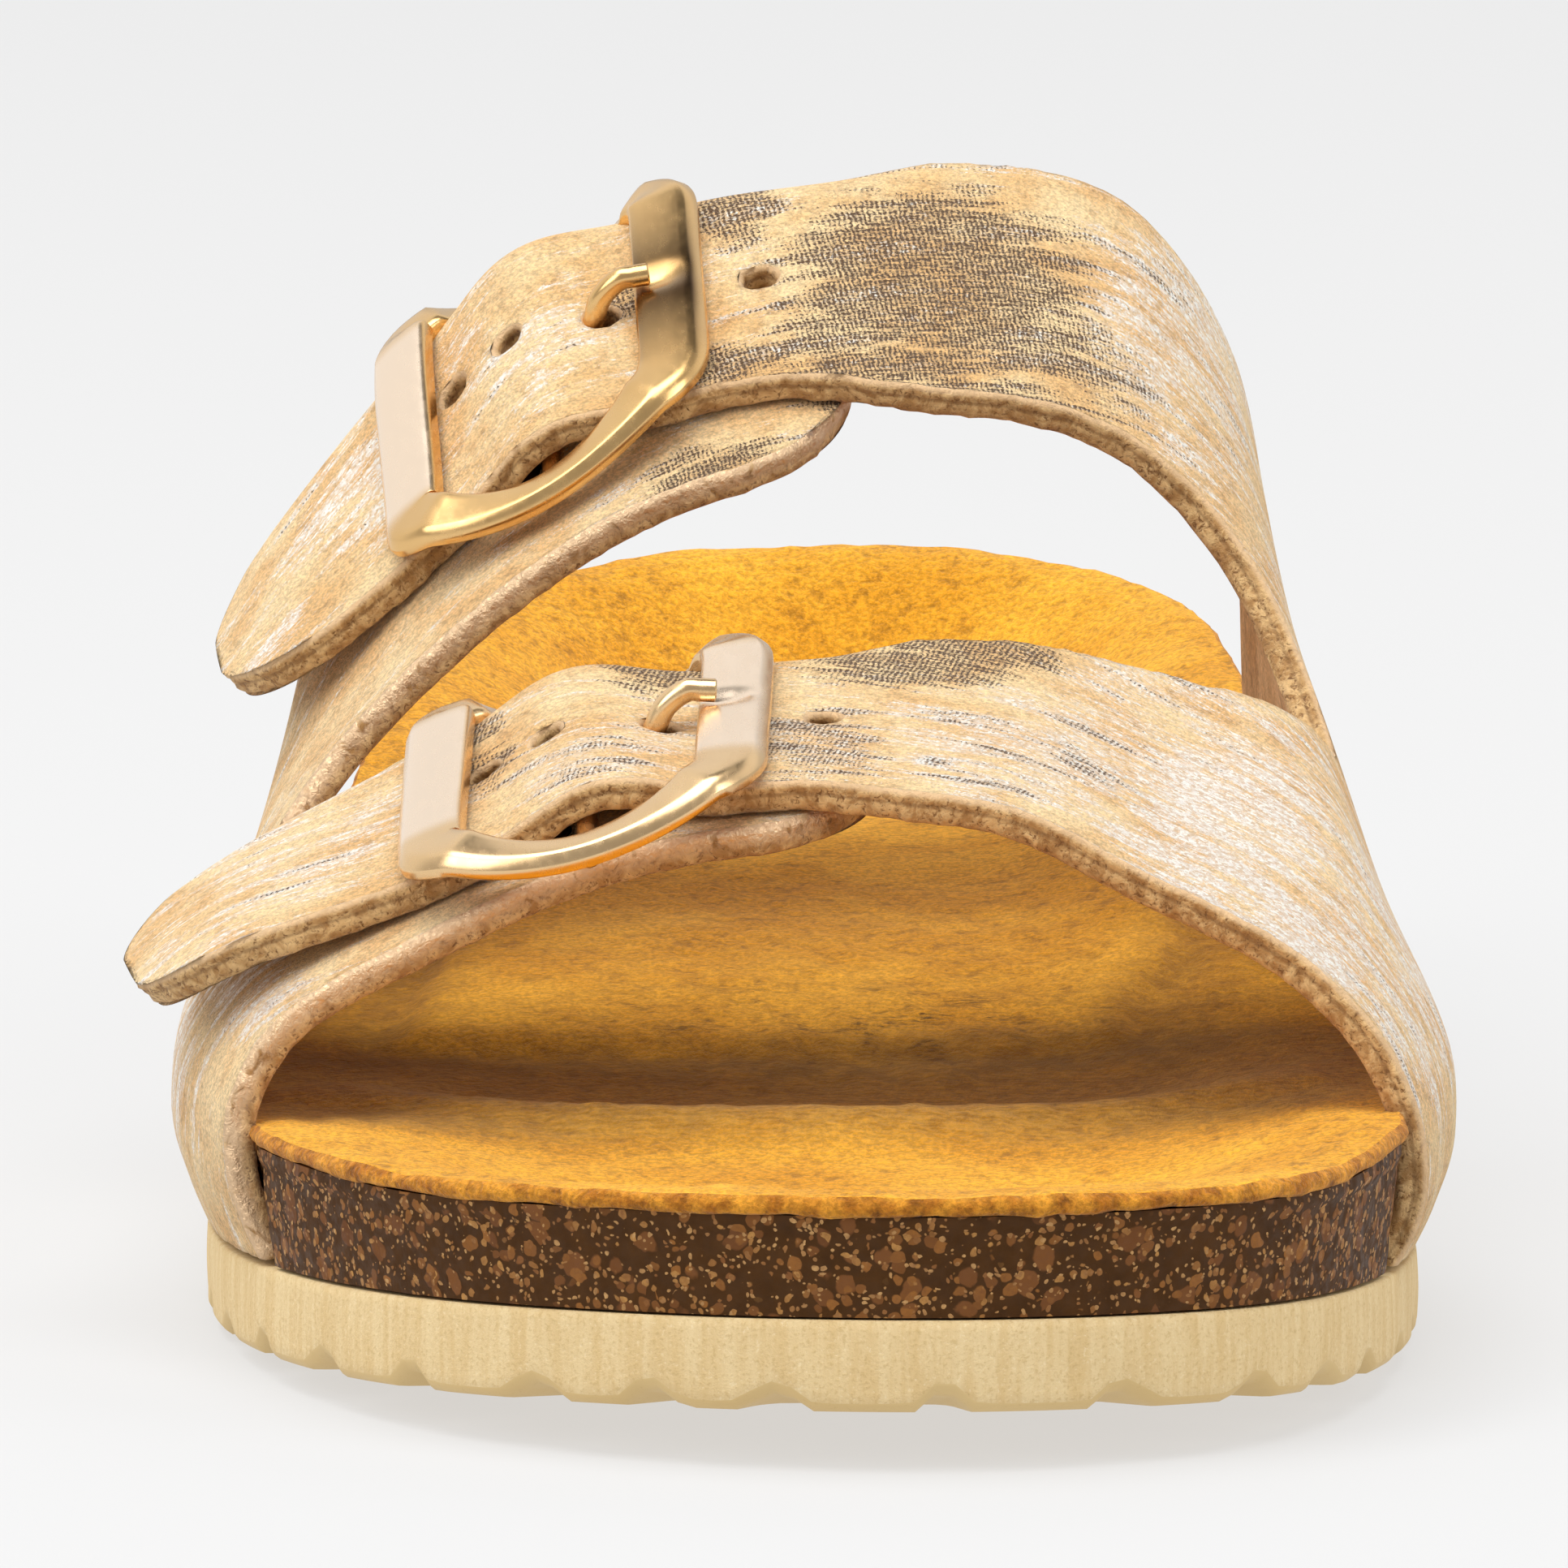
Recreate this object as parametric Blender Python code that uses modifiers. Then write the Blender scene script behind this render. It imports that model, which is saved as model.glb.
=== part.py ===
"""Two-strap sandal with a contoured cork footbed, for the right foot.

The toe points along -Y and the inner (medial) side of the foot is at +X. Metres, +Z up.
The sole stands on z = 0, and the origin is under the middle of its box.
"""
import math

import bmesh
import bpy
import numpy as np
from mathutils import Vector

# Sole
SOLE_LENGTH = 0.252
SOLE_WIDTH = 0.0966
OUTSOLE_THICKNESS = 0.0072
HEEL_WEDGE = 0.0048
TOE_SPRING = 0.0048
FOOTBED_SIDE = 0.0080
CUP_RISE = 0.0172
BED_THICKNESS = 0.0125
LINER_THICKNESS = 0.0012
CORK_FLARE = 0.0012
STRAP_FLARE = 0.0022
SOLE_BEVEL = 0.0009
CLEARANCE = 0.0003

# Tread
LUG_PITCH = 0.0135
LUG_NOTCH_WIDTH = 0.0050
LUG_NOTCH_DEPTH = 0.0022
LUG_NOTCH_REACH = 0.0080
GROOVE_WIDTH = 0.0030
GROOVE_DEPTH = 0.0014
GROOVE_LENGTH = 0.0400

# Straps
LEATHER = 0.0026
INSTEP_HEIGHT = 0.0830
STRAP_WIDTH = 0.0300
FRONT_TAIL = 0.0372
REAR_TAIL = 0.0330
FRONT_TAIL_LIFT = 0.0056
REAR_TAIL_LIFT = 0.0044
TAIL_ROUND = 0.0100
TAB_ROUND = 0.0090

# Buckles
BAR_SPACING = 0.0236
BAR_WIDTH = 0.0048
ARM_WIDTH = 0.0030
BAR_LENGTH = 0.0296
ARM_BOW = 0.0048
FRAME_THICKNESS = 0.0018
PIN_RADIUS = 0.0010
PRONG_RADIUS = 0.0009
PRONG_HOLE_RADIUS = 0.0025
RIVET_RADIUS = 0.0021
RIVET_HEIGHT = 0.0008

# Outline of the outsole, from the toe tip up the medial side to the heel and back.
# across is a share of the sole's width and along a share of its length.
PLAN = [
    dict(across=0.105, along=-0.500),
    dict(across=0.275, along=-0.480),
    dict(across=0.392, along=-0.437),
    dict(across=0.465, along=-0.365),
    dict(across=0.497, along=-0.278),
    dict(across=0.497, along=-0.215),
    dict(across=0.462, along=-0.119),
    dict(across=0.410, along=0.000),
    dict(across=0.384, along=0.119),
    dict(across=0.386, along=0.238),
    dict(across=0.374, along=0.337),
    dict(across=0.325, along=0.429),
    dict(across=0.200, along=0.484),
    dict(across=0.032, along=0.500),
    dict(across=-0.150, along=0.484),
    dict(across=-0.285, along=0.432),
    dict(across=-0.352, along=0.349),
    dict(across=-0.378, along=0.238),
    dict(across=-0.412, along=0.119),
    dict(across=-0.460, along=0.000),
    dict(across=-0.497, along=-0.119),
    dict(across=-0.503, along=-0.200),
    dict(across=-0.472, along=-0.290),
    dict(across=-0.402, along=-0.372),
    dict(across=-0.280, along=-0.440),
    dict(across=-0.090, along=-0.487),
]

# Heights along the sole. spring is a share of TOE_SPRING, wedge of HEEL_WEDGE, the two rims
# of CUP_RISE and bed of BED_THICKNESS.
SOLE_ROWS = [
    dict(along=-0.500, spring=1.00, wedge=0.00, rim_medial=0.01, rim_lateral=0.01, bed=0.62),
    dict(along=-0.437, spring=0.74, wedge=0.00, rim_medial=0.04, rim_lateral=0.02, bed=0.54),
    dict(along=-0.385, spring=0.54, wedge=0.00, rim_medial=0.12, rim_lateral=0.06, bed=0.50),
    dict(along=-0.337, spring=0.38, wedge=0.00, rim_medial=0.19, rim_lateral=0.10, bed=0.55),
    dict(along=-0.286, spring=0.20, wedge=0.00, rim_medial=0.23, rim_lateral=0.12, bed=0.72),
    dict(along=-0.246, spring=0.09, wedge=0.00, rim_medial=0.25, rim_lateral=0.13, bed=0.68),
    dict(along=-0.190, spring=0.00, wedge=0.00, rim_medial=0.28, rim_lateral=0.14, bed=0.80),
    dict(along=-0.099, spring=0.00, wedge=0.02, rim_medial=0.40, rim_lateral=0.21, bed=1.02),
    dict(along=0.000, spring=0.00, wedge=0.20, rim_medial=0.58, rim_lateral=0.32, bed=1.14),
    dict(along=0.119, spring=0.00, wedge=0.62, rim_medial=0.69, rim_lateral=0.46, bed=1.10),
    dict(along=0.238, spring=0.00, wedge=0.92, rim_medial=0.70, rim_lateral=0.64, bed=1.00),
    dict(along=0.357, spring=0.00, wedge=1.00, rim_medial=0.82, rim_lateral=0.83, bed=1.00),
    dict(along=0.437, spring=0.02, wedge=1.00, rim_medial=0.93, rim_lateral=0.93, bed=1.25),
    dict(along=0.500, spring=0.20, wedge=1.00, rim_medial=1.00, rim_lateral=1.00, bed=1.50),
]

# Arch that the straps follow over the foot, at stations along the sole. top is a share of
# INSTEP_HEIGHT. The other columns are half widths, as shares of the sole's half width at that
# station, at the levels listed below between the outsole's top (0) and the arch's top (1).
ARCH_LEVELS = [0.0, 0.10, 0.22, 0.40, 0.60, 0.78, 0.90, 0.97]
ARCH_ROWS = [
    dict(along=-0.365, top=0.470, medial=[1.00, 1.035, 1.065, 1.07, 0.97, 0.82, 0.62, 0.40],
         lateral=[1.00, 1.035, 1.065, 1.06, 0.95, 0.68, 0.44, 0.22]),
    dict(along=-0.317, top=0.515, medial=[1.00, 1.035, 1.065, 1.07, 0.96, 0.81, 0.61, 0.39],
         lateral=[1.00, 1.035, 1.060, 1.05, 0.94, 0.67, 0.44, 0.22]),
    dict(along=-0.183, top=0.610, medial=[1.00, 1.035, 1.070, 1.06, 0.98, 0.88, 0.68, 0.40],
         lateral=[1.00, 1.035, 1.060, 1.03, 0.90, 0.70, 0.48, 0.24]),
    dict(along=-0.056, top=0.778, medial=[1.00, 1.040, 1.070, 1.05, 0.96, 0.83, 0.65, 0.43],
         lateral=[1.00, 1.040, 1.060, 1.01, 0.85, 0.63, 0.41, 0.20]),
    dict(along=0.095, top=1.000, medial=[1.00, 1.045, 1.070, 1.08, 1.07, 1.00, 0.84, 0.60],
         lateral=[1.00, 1.045, 1.060, 1.05, 0.98, 0.82, 0.57, 0.31]),
    dict(along=0.135, top=1.055, medial=[1.00, 1.045, 1.070, 1.08, 1.07, 1.00, 0.84, 0.60],
         lateral=[1.00, 1.045, 1.060, 1.05, 0.98, 0.83, 0.58, 0.32]),
]
ARCH_PEAK = 0.05

# Edges of the straps. way is the share of the arch from the medial base (0) to the lateral
# base (1), and front and rear are shares of the sole's length.
FRONT_STRAP = [
    dict(way=0.00, front=-0.345, rear=-0.160),
    dict(way=0.10, front=-0.343, rear=-0.135),
    dict(way=0.22, front=-0.334, rear=-0.128),
    dict(way=0.32, front=-0.322, rear=-0.150),
    dict(way=0.45, front=-0.308, rear=-0.172),
    dict(way=0.60, front=-0.300, rear=-0.182),
]
REAR_STRAP = [
    dict(way=0.00, front=-0.060, rear=0.112),
    dict(way=0.12, front=-0.075, rear=0.122),
    dict(way=0.24, front=-0.056, rear=0.124),
    dict(way=0.34, front=-0.029, rear=0.112),
    dict(way=0.46, front=-0.030, rear=0.098),
    dict(way=0.60, front=-0.022, rear=0.086),
]
FRONT_TAB = [
    dict(way=1.00, front=-0.325, rear=-0.150),
    dict(way=0.88, front=-0.322, rear=-0.140),
    dict(way=0.76, front=-0.316, rear=-0.150),
    dict(way=0.62, front=-0.308, rear=-0.170),
    dict(way=0.47, front=-0.303, rear=-0.184),
]
REAR_TAB = [
    dict(way=1.00, front=-0.060, rear=0.105),
    dict(way=0.88, front=-0.070, rear=0.105),
    dict(way=0.76, front=-0.072, rear=0.098),
    dict(way=0.62, front=-0.060, rear=0.090),
    dict(way=0.47, front=-0.050, rear=0.080),
]
MEDIAL_NOTCH = dict(way=0.215, along=-0.103, round=0.060)
LATERAL_NOTCH = dict(way=0.820, along=-0.103, round=-0.070)
TAB_TIP = dict(front=0.462, rear=0.470)
STRAP_RAMP = dict(start=0.300, end=0.425)

# Buckles: across is the place of the centre bar, along that of its middle, in metres and as a
# share of the sole's length, and lean is the slope of the instep under it.
BUCKLES = {
    "front": dict(across=-0.0172, along=-0.241, lean=17.0, tail=FRONT_TAIL,
                  tail_lift=FRONT_TAIL_LIFT),
    "rear": dict(across=-0.0215, along=0.031, lean=25.0, tail=REAR_TAIL,
                 tail_lift=REAR_TAIL_LIFT),
}

HALF_STEPS = 40
BED_RINGS = [0.0, 0.035, 0.09, 0.17, 0.27, 0.40, 0.56, 0.76, 1.0]
BASE_RINGS = [0.0, 0.30, 1.0]

MATERIALS = {
    "eva": dict(color=(0.66, 0.55, 0.36), roughness=0.75, metallic=0.0),
    "cork": dict(color=(0.10, 0.05, 0.03), roughness=0.45, metallic=0.0),
    "liner": dict(color=(0.70, 0.42, 0.10), roughness=0.95, metallic=0.0),
    "leather": dict(color=(0.72, 0.52, 0.32), roughness=0.60, metallic=0.25),
    "metal": dict(color=(0.80, 0.55, 0.25), roughness=0.25, metallic=1.0),
    "rivet": dict(color=(0.08, 0.05, 0.03), roughness=0.40, metallic=0.8),
}


def clear_scene():
    for obj in list(bpy.data.objects):
        bpy.data.objects.remove(obj, do_unlink=True)


def make_collection(name):
    collection = bpy.data.collections.new(name)
    bpy.context.scene.collection.children.link(collection)
    return collection


def make_material(name):
    look = MATERIALS[name]
    material = bpy.data.materials.new(name)
    material.use_nodes = True
    shader = material.node_tree.nodes["Principled BSDF"]
    shader.inputs["Base Color"].default_value = (*look["color"], 1.0)
    shader.inputs["Roughness"].default_value = look["roughness"]
    shader.inputs["Metallic"].default_value = look["metallic"]
    return material


def smooth(places, values, at):
    """A smooth curve through a table's rows, without overshoot and level beyond its ends."""
    places = np.asarray(places, float)
    values = np.asarray(values, float)
    if places[0] > places[-1]:
        places, values = places[::-1], values[::-1]
    if at <= places[0]:
        return values[0]
    if at >= places[-1]:
        return values[-1]
    steps = np.diff(values) / np.diff(places)
    slopes = np.concatenate([steps[:1], np.zeros(len(steps) - 1), steps[-1:]])
    for j in range(1, len(steps)):
        if steps[j - 1] * steps[j] > 0:
            slopes[j] = 2 * steps[j - 1] * steps[j] / (steps[j - 1] + steps[j])
    k = int(np.searchsorted(places, at)) - 1
    span = places[k + 1] - places[k]
    t = (at - places[k]) / span
    return ((2 * t**3 - 3 * t**2 + 1) * values[k] + (t**3 - 2 * t**2 + t) * span * slopes[k]
            + (3 * t**2 - 2 * t**3) * values[k + 1] + (t**3 - t**2) * span * slopes[k + 1])


def column(rows, name, at, key="along"):
    return float(smooth([row[key] for row in rows], [row[name] for row in rows], at))


def ease(t):
    t = min(max(t, 0.0), 1.0)
    return t * t * (3 - 2 * t)


def round_curve(points, steps=12, closed=False):
    """A finely stepped smooth curve through the given points."""
    points = [np.asarray(point, float) for point in points]
    count = len(points)
    curve = []
    for k in range(count if closed else count - 1):
        if closed:
            a, b, c, d = (points[(k + j) % count] for j in (-1, 0, 1, 2))
        else:
            b, c = points[k], points[k + 1]
            a = points[k - 1] if k else 2 * b - c
            d = points[k + 2] if k + 2 < count else 2 * c - b
        for j in range(steps):
            t = j / steps
            curve.append(0.5 * (2 * b + (c - a) * t + (2 * a - 5 * b + 4 * c - d) * t**2
                                + (3 * b - a - 3 * c + d) * t**3))
    curve.append(points[0] if closed else points[-1])
    return np.array(curve)


def even_steps(curve, count):
    """count + 1 points at even distances along a stepped curve."""
    steps = np.linalg.norm(np.diff(curve, axis=0), axis=1)
    way = np.concatenate([[0.0], np.cumsum(steps)])
    places = np.linspace(0.0, way[-1], count + 1)
    return np.column_stack([np.interp(places, way, curve[:, k]) for k in range(curve.shape[1])])


def plan_halves():
    """The outline's medial and lateral halves, each from the toe tip to the heel tip."""
    points = [(row["across"] * SOLE_WIDTH, row["along"] * SOLE_LENGTH) for row in PLAN]
    curve = round_curve(points, closed=True)[:-1]
    toe = int(np.argmin(curve[:, 1]))
    curve = np.roll(curve, -toe, axis=0)
    heel = int(np.argmax(curve[:, 1]))
    medial = curve[:heel + 1]
    lateral = np.vstack([curve[heel:], curve[:1]])[::-1]
    return even_steps(medial, HALF_STEPS), even_steps(lateral, HALF_STEPS)


MEDIAL_HALF, LATERAL_HALF = plan_halves()


def half_width(y, side):
    half = MEDIAL_HALF if side > 0 else LATERAL_HALF
    return abs(float(np.interp(y, half[:, 1], half[:, 0])))


def ground(y):
    return column(SOLE_ROWS, "spring", y / SOLE_LENGTH) * TOE_SPRING


def outsole_top(y):
    return ground(y) + OUTSOLE_THICKNESS + column(SOLE_ROWS, "wedge", y / SOLE_LENGTH) * HEEL_WEDGE


def rim_height(x, y):
    """Top of the cork's edge: the medial and lateral rims blend at the toe and the heel."""
    share = ease(0.5 + x / (0.6 * SOLE_WIDTH))
    rims = [column(SOLE_ROWS, name, y / SOLE_LENGTH) for name in ("rim_lateral", "rim_medial")]
    return outsole_top(y) + FOOTBED_SIDE + (rims[0] + share * (rims[1] - rims[0])) * CUP_RISE


def bed_height(y):
    return outsole_top(y) + column(SOLE_ROWS, "bed", y / SOLE_LENGTH) * BED_THICKNESS


def strap_recess(y, side):
    """Share of the strap's room that the cork's side gives at a station: 1 under the straps."""
    front = FRONT_STRAP[0]["front"] if side > 0 else FRONT_TAB[0]["front"]
    rear = REAR_STRAP[0]["rear"] if side > 0 else REAR_TAB[0]["rear"]
    run = 0.05 * SOLE_LENGTH
    into = ease((y - front * SOLE_LENGTH + run) / run)
    out = ease((rear * SOLE_LENGTH + run - y) / run)
    return min(into, out)


def outline_rings(inset, shares):
    """Rings from the outline, moved in by inset(point, side), to the spine of the sole."""
    rim = []
    for half, side in ((MEDIAL_HALF, 1), (LATERAL_HALF, -1)):
        slope = np.gradient(half, axis=0)
        normal = np.column_stack([slope[:, 1], -slope[:, 0]]) * side
        normal /= np.linalg.norm(normal, axis=1)[:, None]
        depth = np.array([inset(point[1], side) for point in half])
        rim.append(half - normal * depth[:, None])
    rim[0][0] = rim[1][0] = (rim[0][0] + rim[1][0]) / 2
    rim[0][-1] = rim[1][-1] = (rim[0][-1] + rim[1][-1]) / 2
    spine = (rim[0] + rim[1]) / 2
    reach = 0.10 * SOLE_LENGTH
    spine[:, 1] = np.clip(spine[:, 1], spine[0, 1] + reach, spine[-1, 1] - reach)
    ends = [np.interp(spine[:, 1], (rim[0] + rim[1])[:, 1] / 2, (rim[0] + rim[1])[:, 0] / 2)]
    spine[:, 0] = ends[0]
    loop = np.vstack([rim[0], rim[1][-2:0:-1]])
    middle = np.vstack([spine, spine[-2:0:-1]])
    return [loop + (middle - loop) * share for share in shares]


def skin_rings(rings):
    """A closed mesh from stacked rings: each end ring is folded flat onto its own spine."""
    mesh = bmesh.new()
    rows = [[mesh.verts.new(point) for point in ring] for ring in rings]
    count = len(rows[0])
    for low, high in zip(rows, rows[1:]):
        for k in range(count):
            j = (k + 1) % count
            mesh.faces.new((low[k], low[j], high[j], high[k]))
    bmesh.ops.remove_doubles(mesh, verts=mesh.verts, dist=1e-6)
    bmesh.ops.dissolve_degenerate(mesh, edges=mesh.edges, dist=1e-7)
    bmesh.ops.recalc_face_normals(mesh, faces=mesh.faces)
    return mesh


def finish_object(mesh, name, material, collection, sharp=35.0):
    data = bpy.data.meshes.new(name)
    mesh.to_mesh(data)
    mesh.free()
    data.materials.append(material)
    data.shade_smooth()
    data.set_sharp_from_angle(angle=math.radians(sharp))
    obj = bpy.data.objects.new(name, data)
    collection.objects.link(obj)
    return obj


def lift_ring(ring, height):
    return [(x, y, height(x, y)) for x, y in ring]


def bed_rings(drop):
    """Rings of the footbed's top surface, lowered by drop: rim, side of the cup, bed."""
    rings = outline_rings(cork_inset_top, BED_RINGS)
    rim = [rim_height(x, y) for x, y in rings[0]]
    lifted = []
    for share, ring in zip(BED_RINGS, rings):
        fall = ease((share - 0.02) / 0.62)
        lifted.append([(x, y, edge + (bed_height(y) - edge) * fall - drop)
                       for (x, y), edge in zip(ring, rim)])
    return lifted


def cork_inset_base(y, side):
    return CLEARANCE + strap_recess(y, side) * LEATHER


def cork_inset_top(y, side):
    flare = CORK_FLARE + (STRAP_FLARE - CORK_FLARE) * strap_recess(y, side)
    return cork_inset_base(y, side) - flare


def build_outsole(material, collection, tools):
    def flush(y, side):
        return 0.0

    def beveled(y, side):
        return SOLE_BEVEL

    top = [lift_ring(ring, lambda x, y: outsole_top(y)) for ring in outline_rings(flush, BASE_RINGS)]
    base = [lift_ring(ring, lambda x, y: ground(y)) for ring in outline_rings(beveled, BASE_RINGS)]
    side = lift_ring(outline_rings(flush, [0.0])[0], lambda x, y: ground(y) + SOLE_BEVEL)
    mesh = skin_rings(top[::-1] + [side] + base)
    obj = finish_object(mesh, "outsole", material, collection)
    cutter = tread_cutter(tools)
    cut = obj.modifiers.new("tread", "BOOLEAN")
    cut.operation = "DIFFERENCE"
    cut.solver = "EXACT"
    cut.object = cutter
    return obj


def tread_cutter(tools):
    """Wedges that notch the edge of the tread, and bars that groove its middle."""
    loop = np.vstack([MEDIAL_HALF, LATERAL_HALF[-2:0:-1]])
    loop = np.vstack([loop, loop[:1]])
    length = np.linalg.norm(np.diff(loop, axis=0), axis=1).sum()
    count = round(length / LUG_PITCH)
    places = even_steps(loop, count)
    ahead = np.roll(places[:-1], -1, axis=0) - np.roll(places[:-1], 1, axis=0)
    mesh = bmesh.new()
    for (x, y), (dx, dy) in zip(places[:-1], ahead):
        turn = math.atan2(dy, dx)
        add_wedge(mesh, x, y, turn, LUG_NOTCH_WIDTH, 2 * LUG_NOTCH_REACH, LUG_NOTCH_DEPTH)
    grooves = int(0.72 * SOLE_LENGTH / LUG_PITCH)
    for k in range(grooves):
        y = (k - (grooves - 1) / 2) * LUG_PITCH
        x = (half_width(y, 1) - half_width(y, -1)) / 2
        add_wedge(mesh, x, y, math.pi / 2, GROOVE_WIDTH, GROOVE_LENGTH, GROOVE_DEPTH)
    data = bpy.data.meshes.new("tread_cutter")
    mesh.to_mesh(data)
    mesh.free()
    cutter = bpy.data.objects.new("tread_cutter", data)
    cutter.hide_render = True
    cutter.display_type = "WIRE"
    tools.objects.link(cutter)
    return cutter


def add_wedge(mesh, x, y, turn, width, reach, depth):
    """A bar with sloping sides, long across the edge, that cuts depth into the tread."""
    along = Vector((math.cos(turn), math.sin(turn), 0.0))
    across = Vector((-along.y, along.x, 0.0))
    verts = bmesh.ops.create_cube(mesh, size=1.0)["verts"]
    base = ground(y)
    for vert in verts:
        top = vert.co.z > 0
        spread = 0.55 if top else 1.35
        place = Vector((x, y, 0.0)) + along * vert.co.x * width * spread
        place += across * vert.co.y * reach
        place.z = base + depth if top else base - 2 * depth
        vert.co = place


def build_footbed(material, collection):
    base = [lift_ring(ring, lambda x, y: outsole_top(y) + CLEARANCE)
            for ring in outline_rings(cork_inset_base, BASE_RINGS)]
    mesh = skin_rings(base[::-1] + bed_rings(0.0))
    return finish_object(mesh, "footbed", material, collection)


def build_insole(material, collection):
    under = bed_rings(-CLEARANCE)
    over = bed_rings(-CLEARANCE - LINER_THICKNESS)
    mesh = skin_rings(under[::-1] + over)
    return finish_object(mesh, "insole", material, collection)


def arch_curve(y):
    """Outer surface of the lower strap layer at one station, from medial to lateral base."""
    along = y / SOLE_LENGTH
    base = outsole_top(y) + CLEARANCE
    top = column(ARCH_ROWS, "top", along) * INSTEP_HEIGHT
    places = [row["along"] for row in ARCH_ROWS]
    sides = {}
    for name, side in (("medial", 1), ("lateral", -1)):
        width = half_width(y, side)
        levels = np.array([row[name] for row in ARCH_ROWS])
        sides[name] = [(side * width * float(smooth(places, levels[:, k], along)),
                        base + level * (top - base)) for k, level in enumerate(ARCH_LEVELS)]
    peak = (ARCH_PEAK * half_width(y, 1), top)
    return round_curve(sides["medial"] + [peak] + sides["lateral"][::-1], steps=8)


ARCH_CACHE = {}


def arch_way(y):
    key = round(y * 1e6)
    if key not in ARCH_CACHE:
        curve = arch_curve(y)
        steps = np.linalg.norm(np.diff(curve, axis=0), axis=1)
        ARCH_CACHE[key] = (curve, np.concatenate([[0.0], np.cumsum(steps)]))
    return ARCH_CACHE[key]


def arch_length(y):
    return arch_way(y)[1][-1]


def arch_point(way, y):
    curve, run = arch_way(y)
    place = way * run[-1]
    return Vector((np.interp(place, run, curve[:, 0]), y, np.interp(place, run, curve[:, 1])))


def skin_point(way, y, lift):
    """A point that stands lift outside the arch."""
    step = 0.004
    ahead = arch_point(min(way + step, 1.0), y) - arch_point(max(way - step, 0.0), y)
    back = arch_point(way, y + 0.001) - arch_point(way, y - 0.001)
    normal = back.cross(ahead).normalized()
    if way < step or way > 1.0 - step:
        normal = Vector((normal.x, 0.0, 0.0)).normalized()
    return arch_point(way, y) + normal * lift


def way_at(x, y):
    """Share of the arch at which it passes x, on its upper half."""
    curve, run = arch_way(y)
    order = np.argsort(-curve[:, 0])
    upper = [k for k in order if curve[k, 1] > 0.5 * curve[:, 1].max()]
    return float(np.interp(-x, -curve[upper, 0], run[upper])) / run[-1]


def buckle_place(name):
    """Share of the arch and station of a buckle's centre bar."""
    y = BUCKLES[name]["along"] * SOLE_LENGTH
    return way_at(BUCKLES[name]["across"], y), y


def strap_lift(name, way, y):
    """Height of a long strap's outer face over the arch: up on the tab, over the centre bar,
    under both side bars, and away from the foot at its tail."""
    up = ease((way - STRAP_RAMP["start"]) / (STRAP_RAMP["end"] - STRAP_RAMP["start"]))
    centre, _ = buckle_place(name)
    p = (way - centre) * arch_length(y)
    lift = up * (LEATHER + CLEARANCE)
    reach = 0.42 * BAR_SPACING
    if abs(p) < reach:
        lift += (2 * PIN_RADIUS + CLEARANCE) * math.cos(0.5 * math.pi * p / reach) ** 2
    past = p - 0.62 * BAR_SPACING
    if past > 0:
        lift += BUCKLES[name]["tail_lift"] * (past / (BUCKLES[name]["tail"] - 0.62 * BAR_SPACING)) ** 1.6
    return lift


def strap_edges(name, rows, way, notch, edge):
    """Stations of a long strap's front and rear edge at a share of the arch."""
    y_mid = BUCKLES[name]["along"] * SOLE_LENGTH
    narrow = 0.5 * STRAP_WIDTH * math.cos(math.radians(BUCKLES[name]["lean"]))
    blend = ease((way - 0.45) / 0.10)
    front = column(rows, "front", way, "way") * SOLE_LENGTH
    rear = column(rows, "rear", way, "way") * SOLE_LENGTH
    front += (y_mid - narrow - front) * blend
    rear += (y_mid + narrow - rear) * blend
    return notched(front, rear, way, notch, edge)


def tab_edges(rows, way, notch, edge):
    front = column(rows, "front", way, "way") * SOLE_LENGTH
    rear = column(rows, "rear", way, "way") * SOLE_LENGTH
    return notched(front, rear, way, notch, edge)


def notched(front, rear, way, notch, edge):
    """Closes the notch between the two straps below its round bottom."""
    t = (way - notch["way"]) / notch["round"]
    t = min(max(t, 0.0), 1.0)
    open_share = math.sqrt(1.0 - (1.0 - t) ** 2)
    seam = notch["along"] * SOLE_LENGTH
    if edge == "rear":
        rear = seam + (rear - seam) * open_share
    else:
        front = seam + (front - seam) * open_share
    return front, rear


def rounded(front, rear, left, radius):
    """Rounds the corners of a strap's end; left is the distance to its tip."""
    if left >= radius:
        return front, rear
    pull = radius - math.sqrt(max(radius**2 - (radius - left) ** 2, 0.0))
    pull = min(pull, 0.42 * (rear - front))
    return front + pull, rear - pull


def add_band(mesh, ways, columns, edges, lift):
    """A grid over one strap: a row for each share of the arch, columns across its width."""
    rows = []
    for way in ways:
        front, rear = edges(way)
        stations = [front + (rear - front) * k / columns for k in range(columns + 1)]
        rows.append([mesh.verts.new(skin_point(way, y, lift(way, y))) for y in stations])
    for low, high in zip(rows, rows[1:]):
        for k in range(columns):
            mesh.faces.new((low[k], low[k + 1], high[k + 1], high[k]))


def strap_rows(start, notch, stop, radius_share):
    """Shares of the arch for a strap's rows, closer round the notch and the tip."""
    low = np.linspace(start, notch["way"], 5)
    turn = [notch["way"] + notch["round"] * (1 - math.cos(math.radians(a))) for a in (25, 50, 75)]
    last = stop - radius_share
    main = np.linspace(notch["way"] + notch["round"], last, 20)
    tip = [last + radius_share * math.sin(math.radians(a)) for a in (30, 55, 75, 90)]
    return list(low) + turn + list(main) + tip


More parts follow.
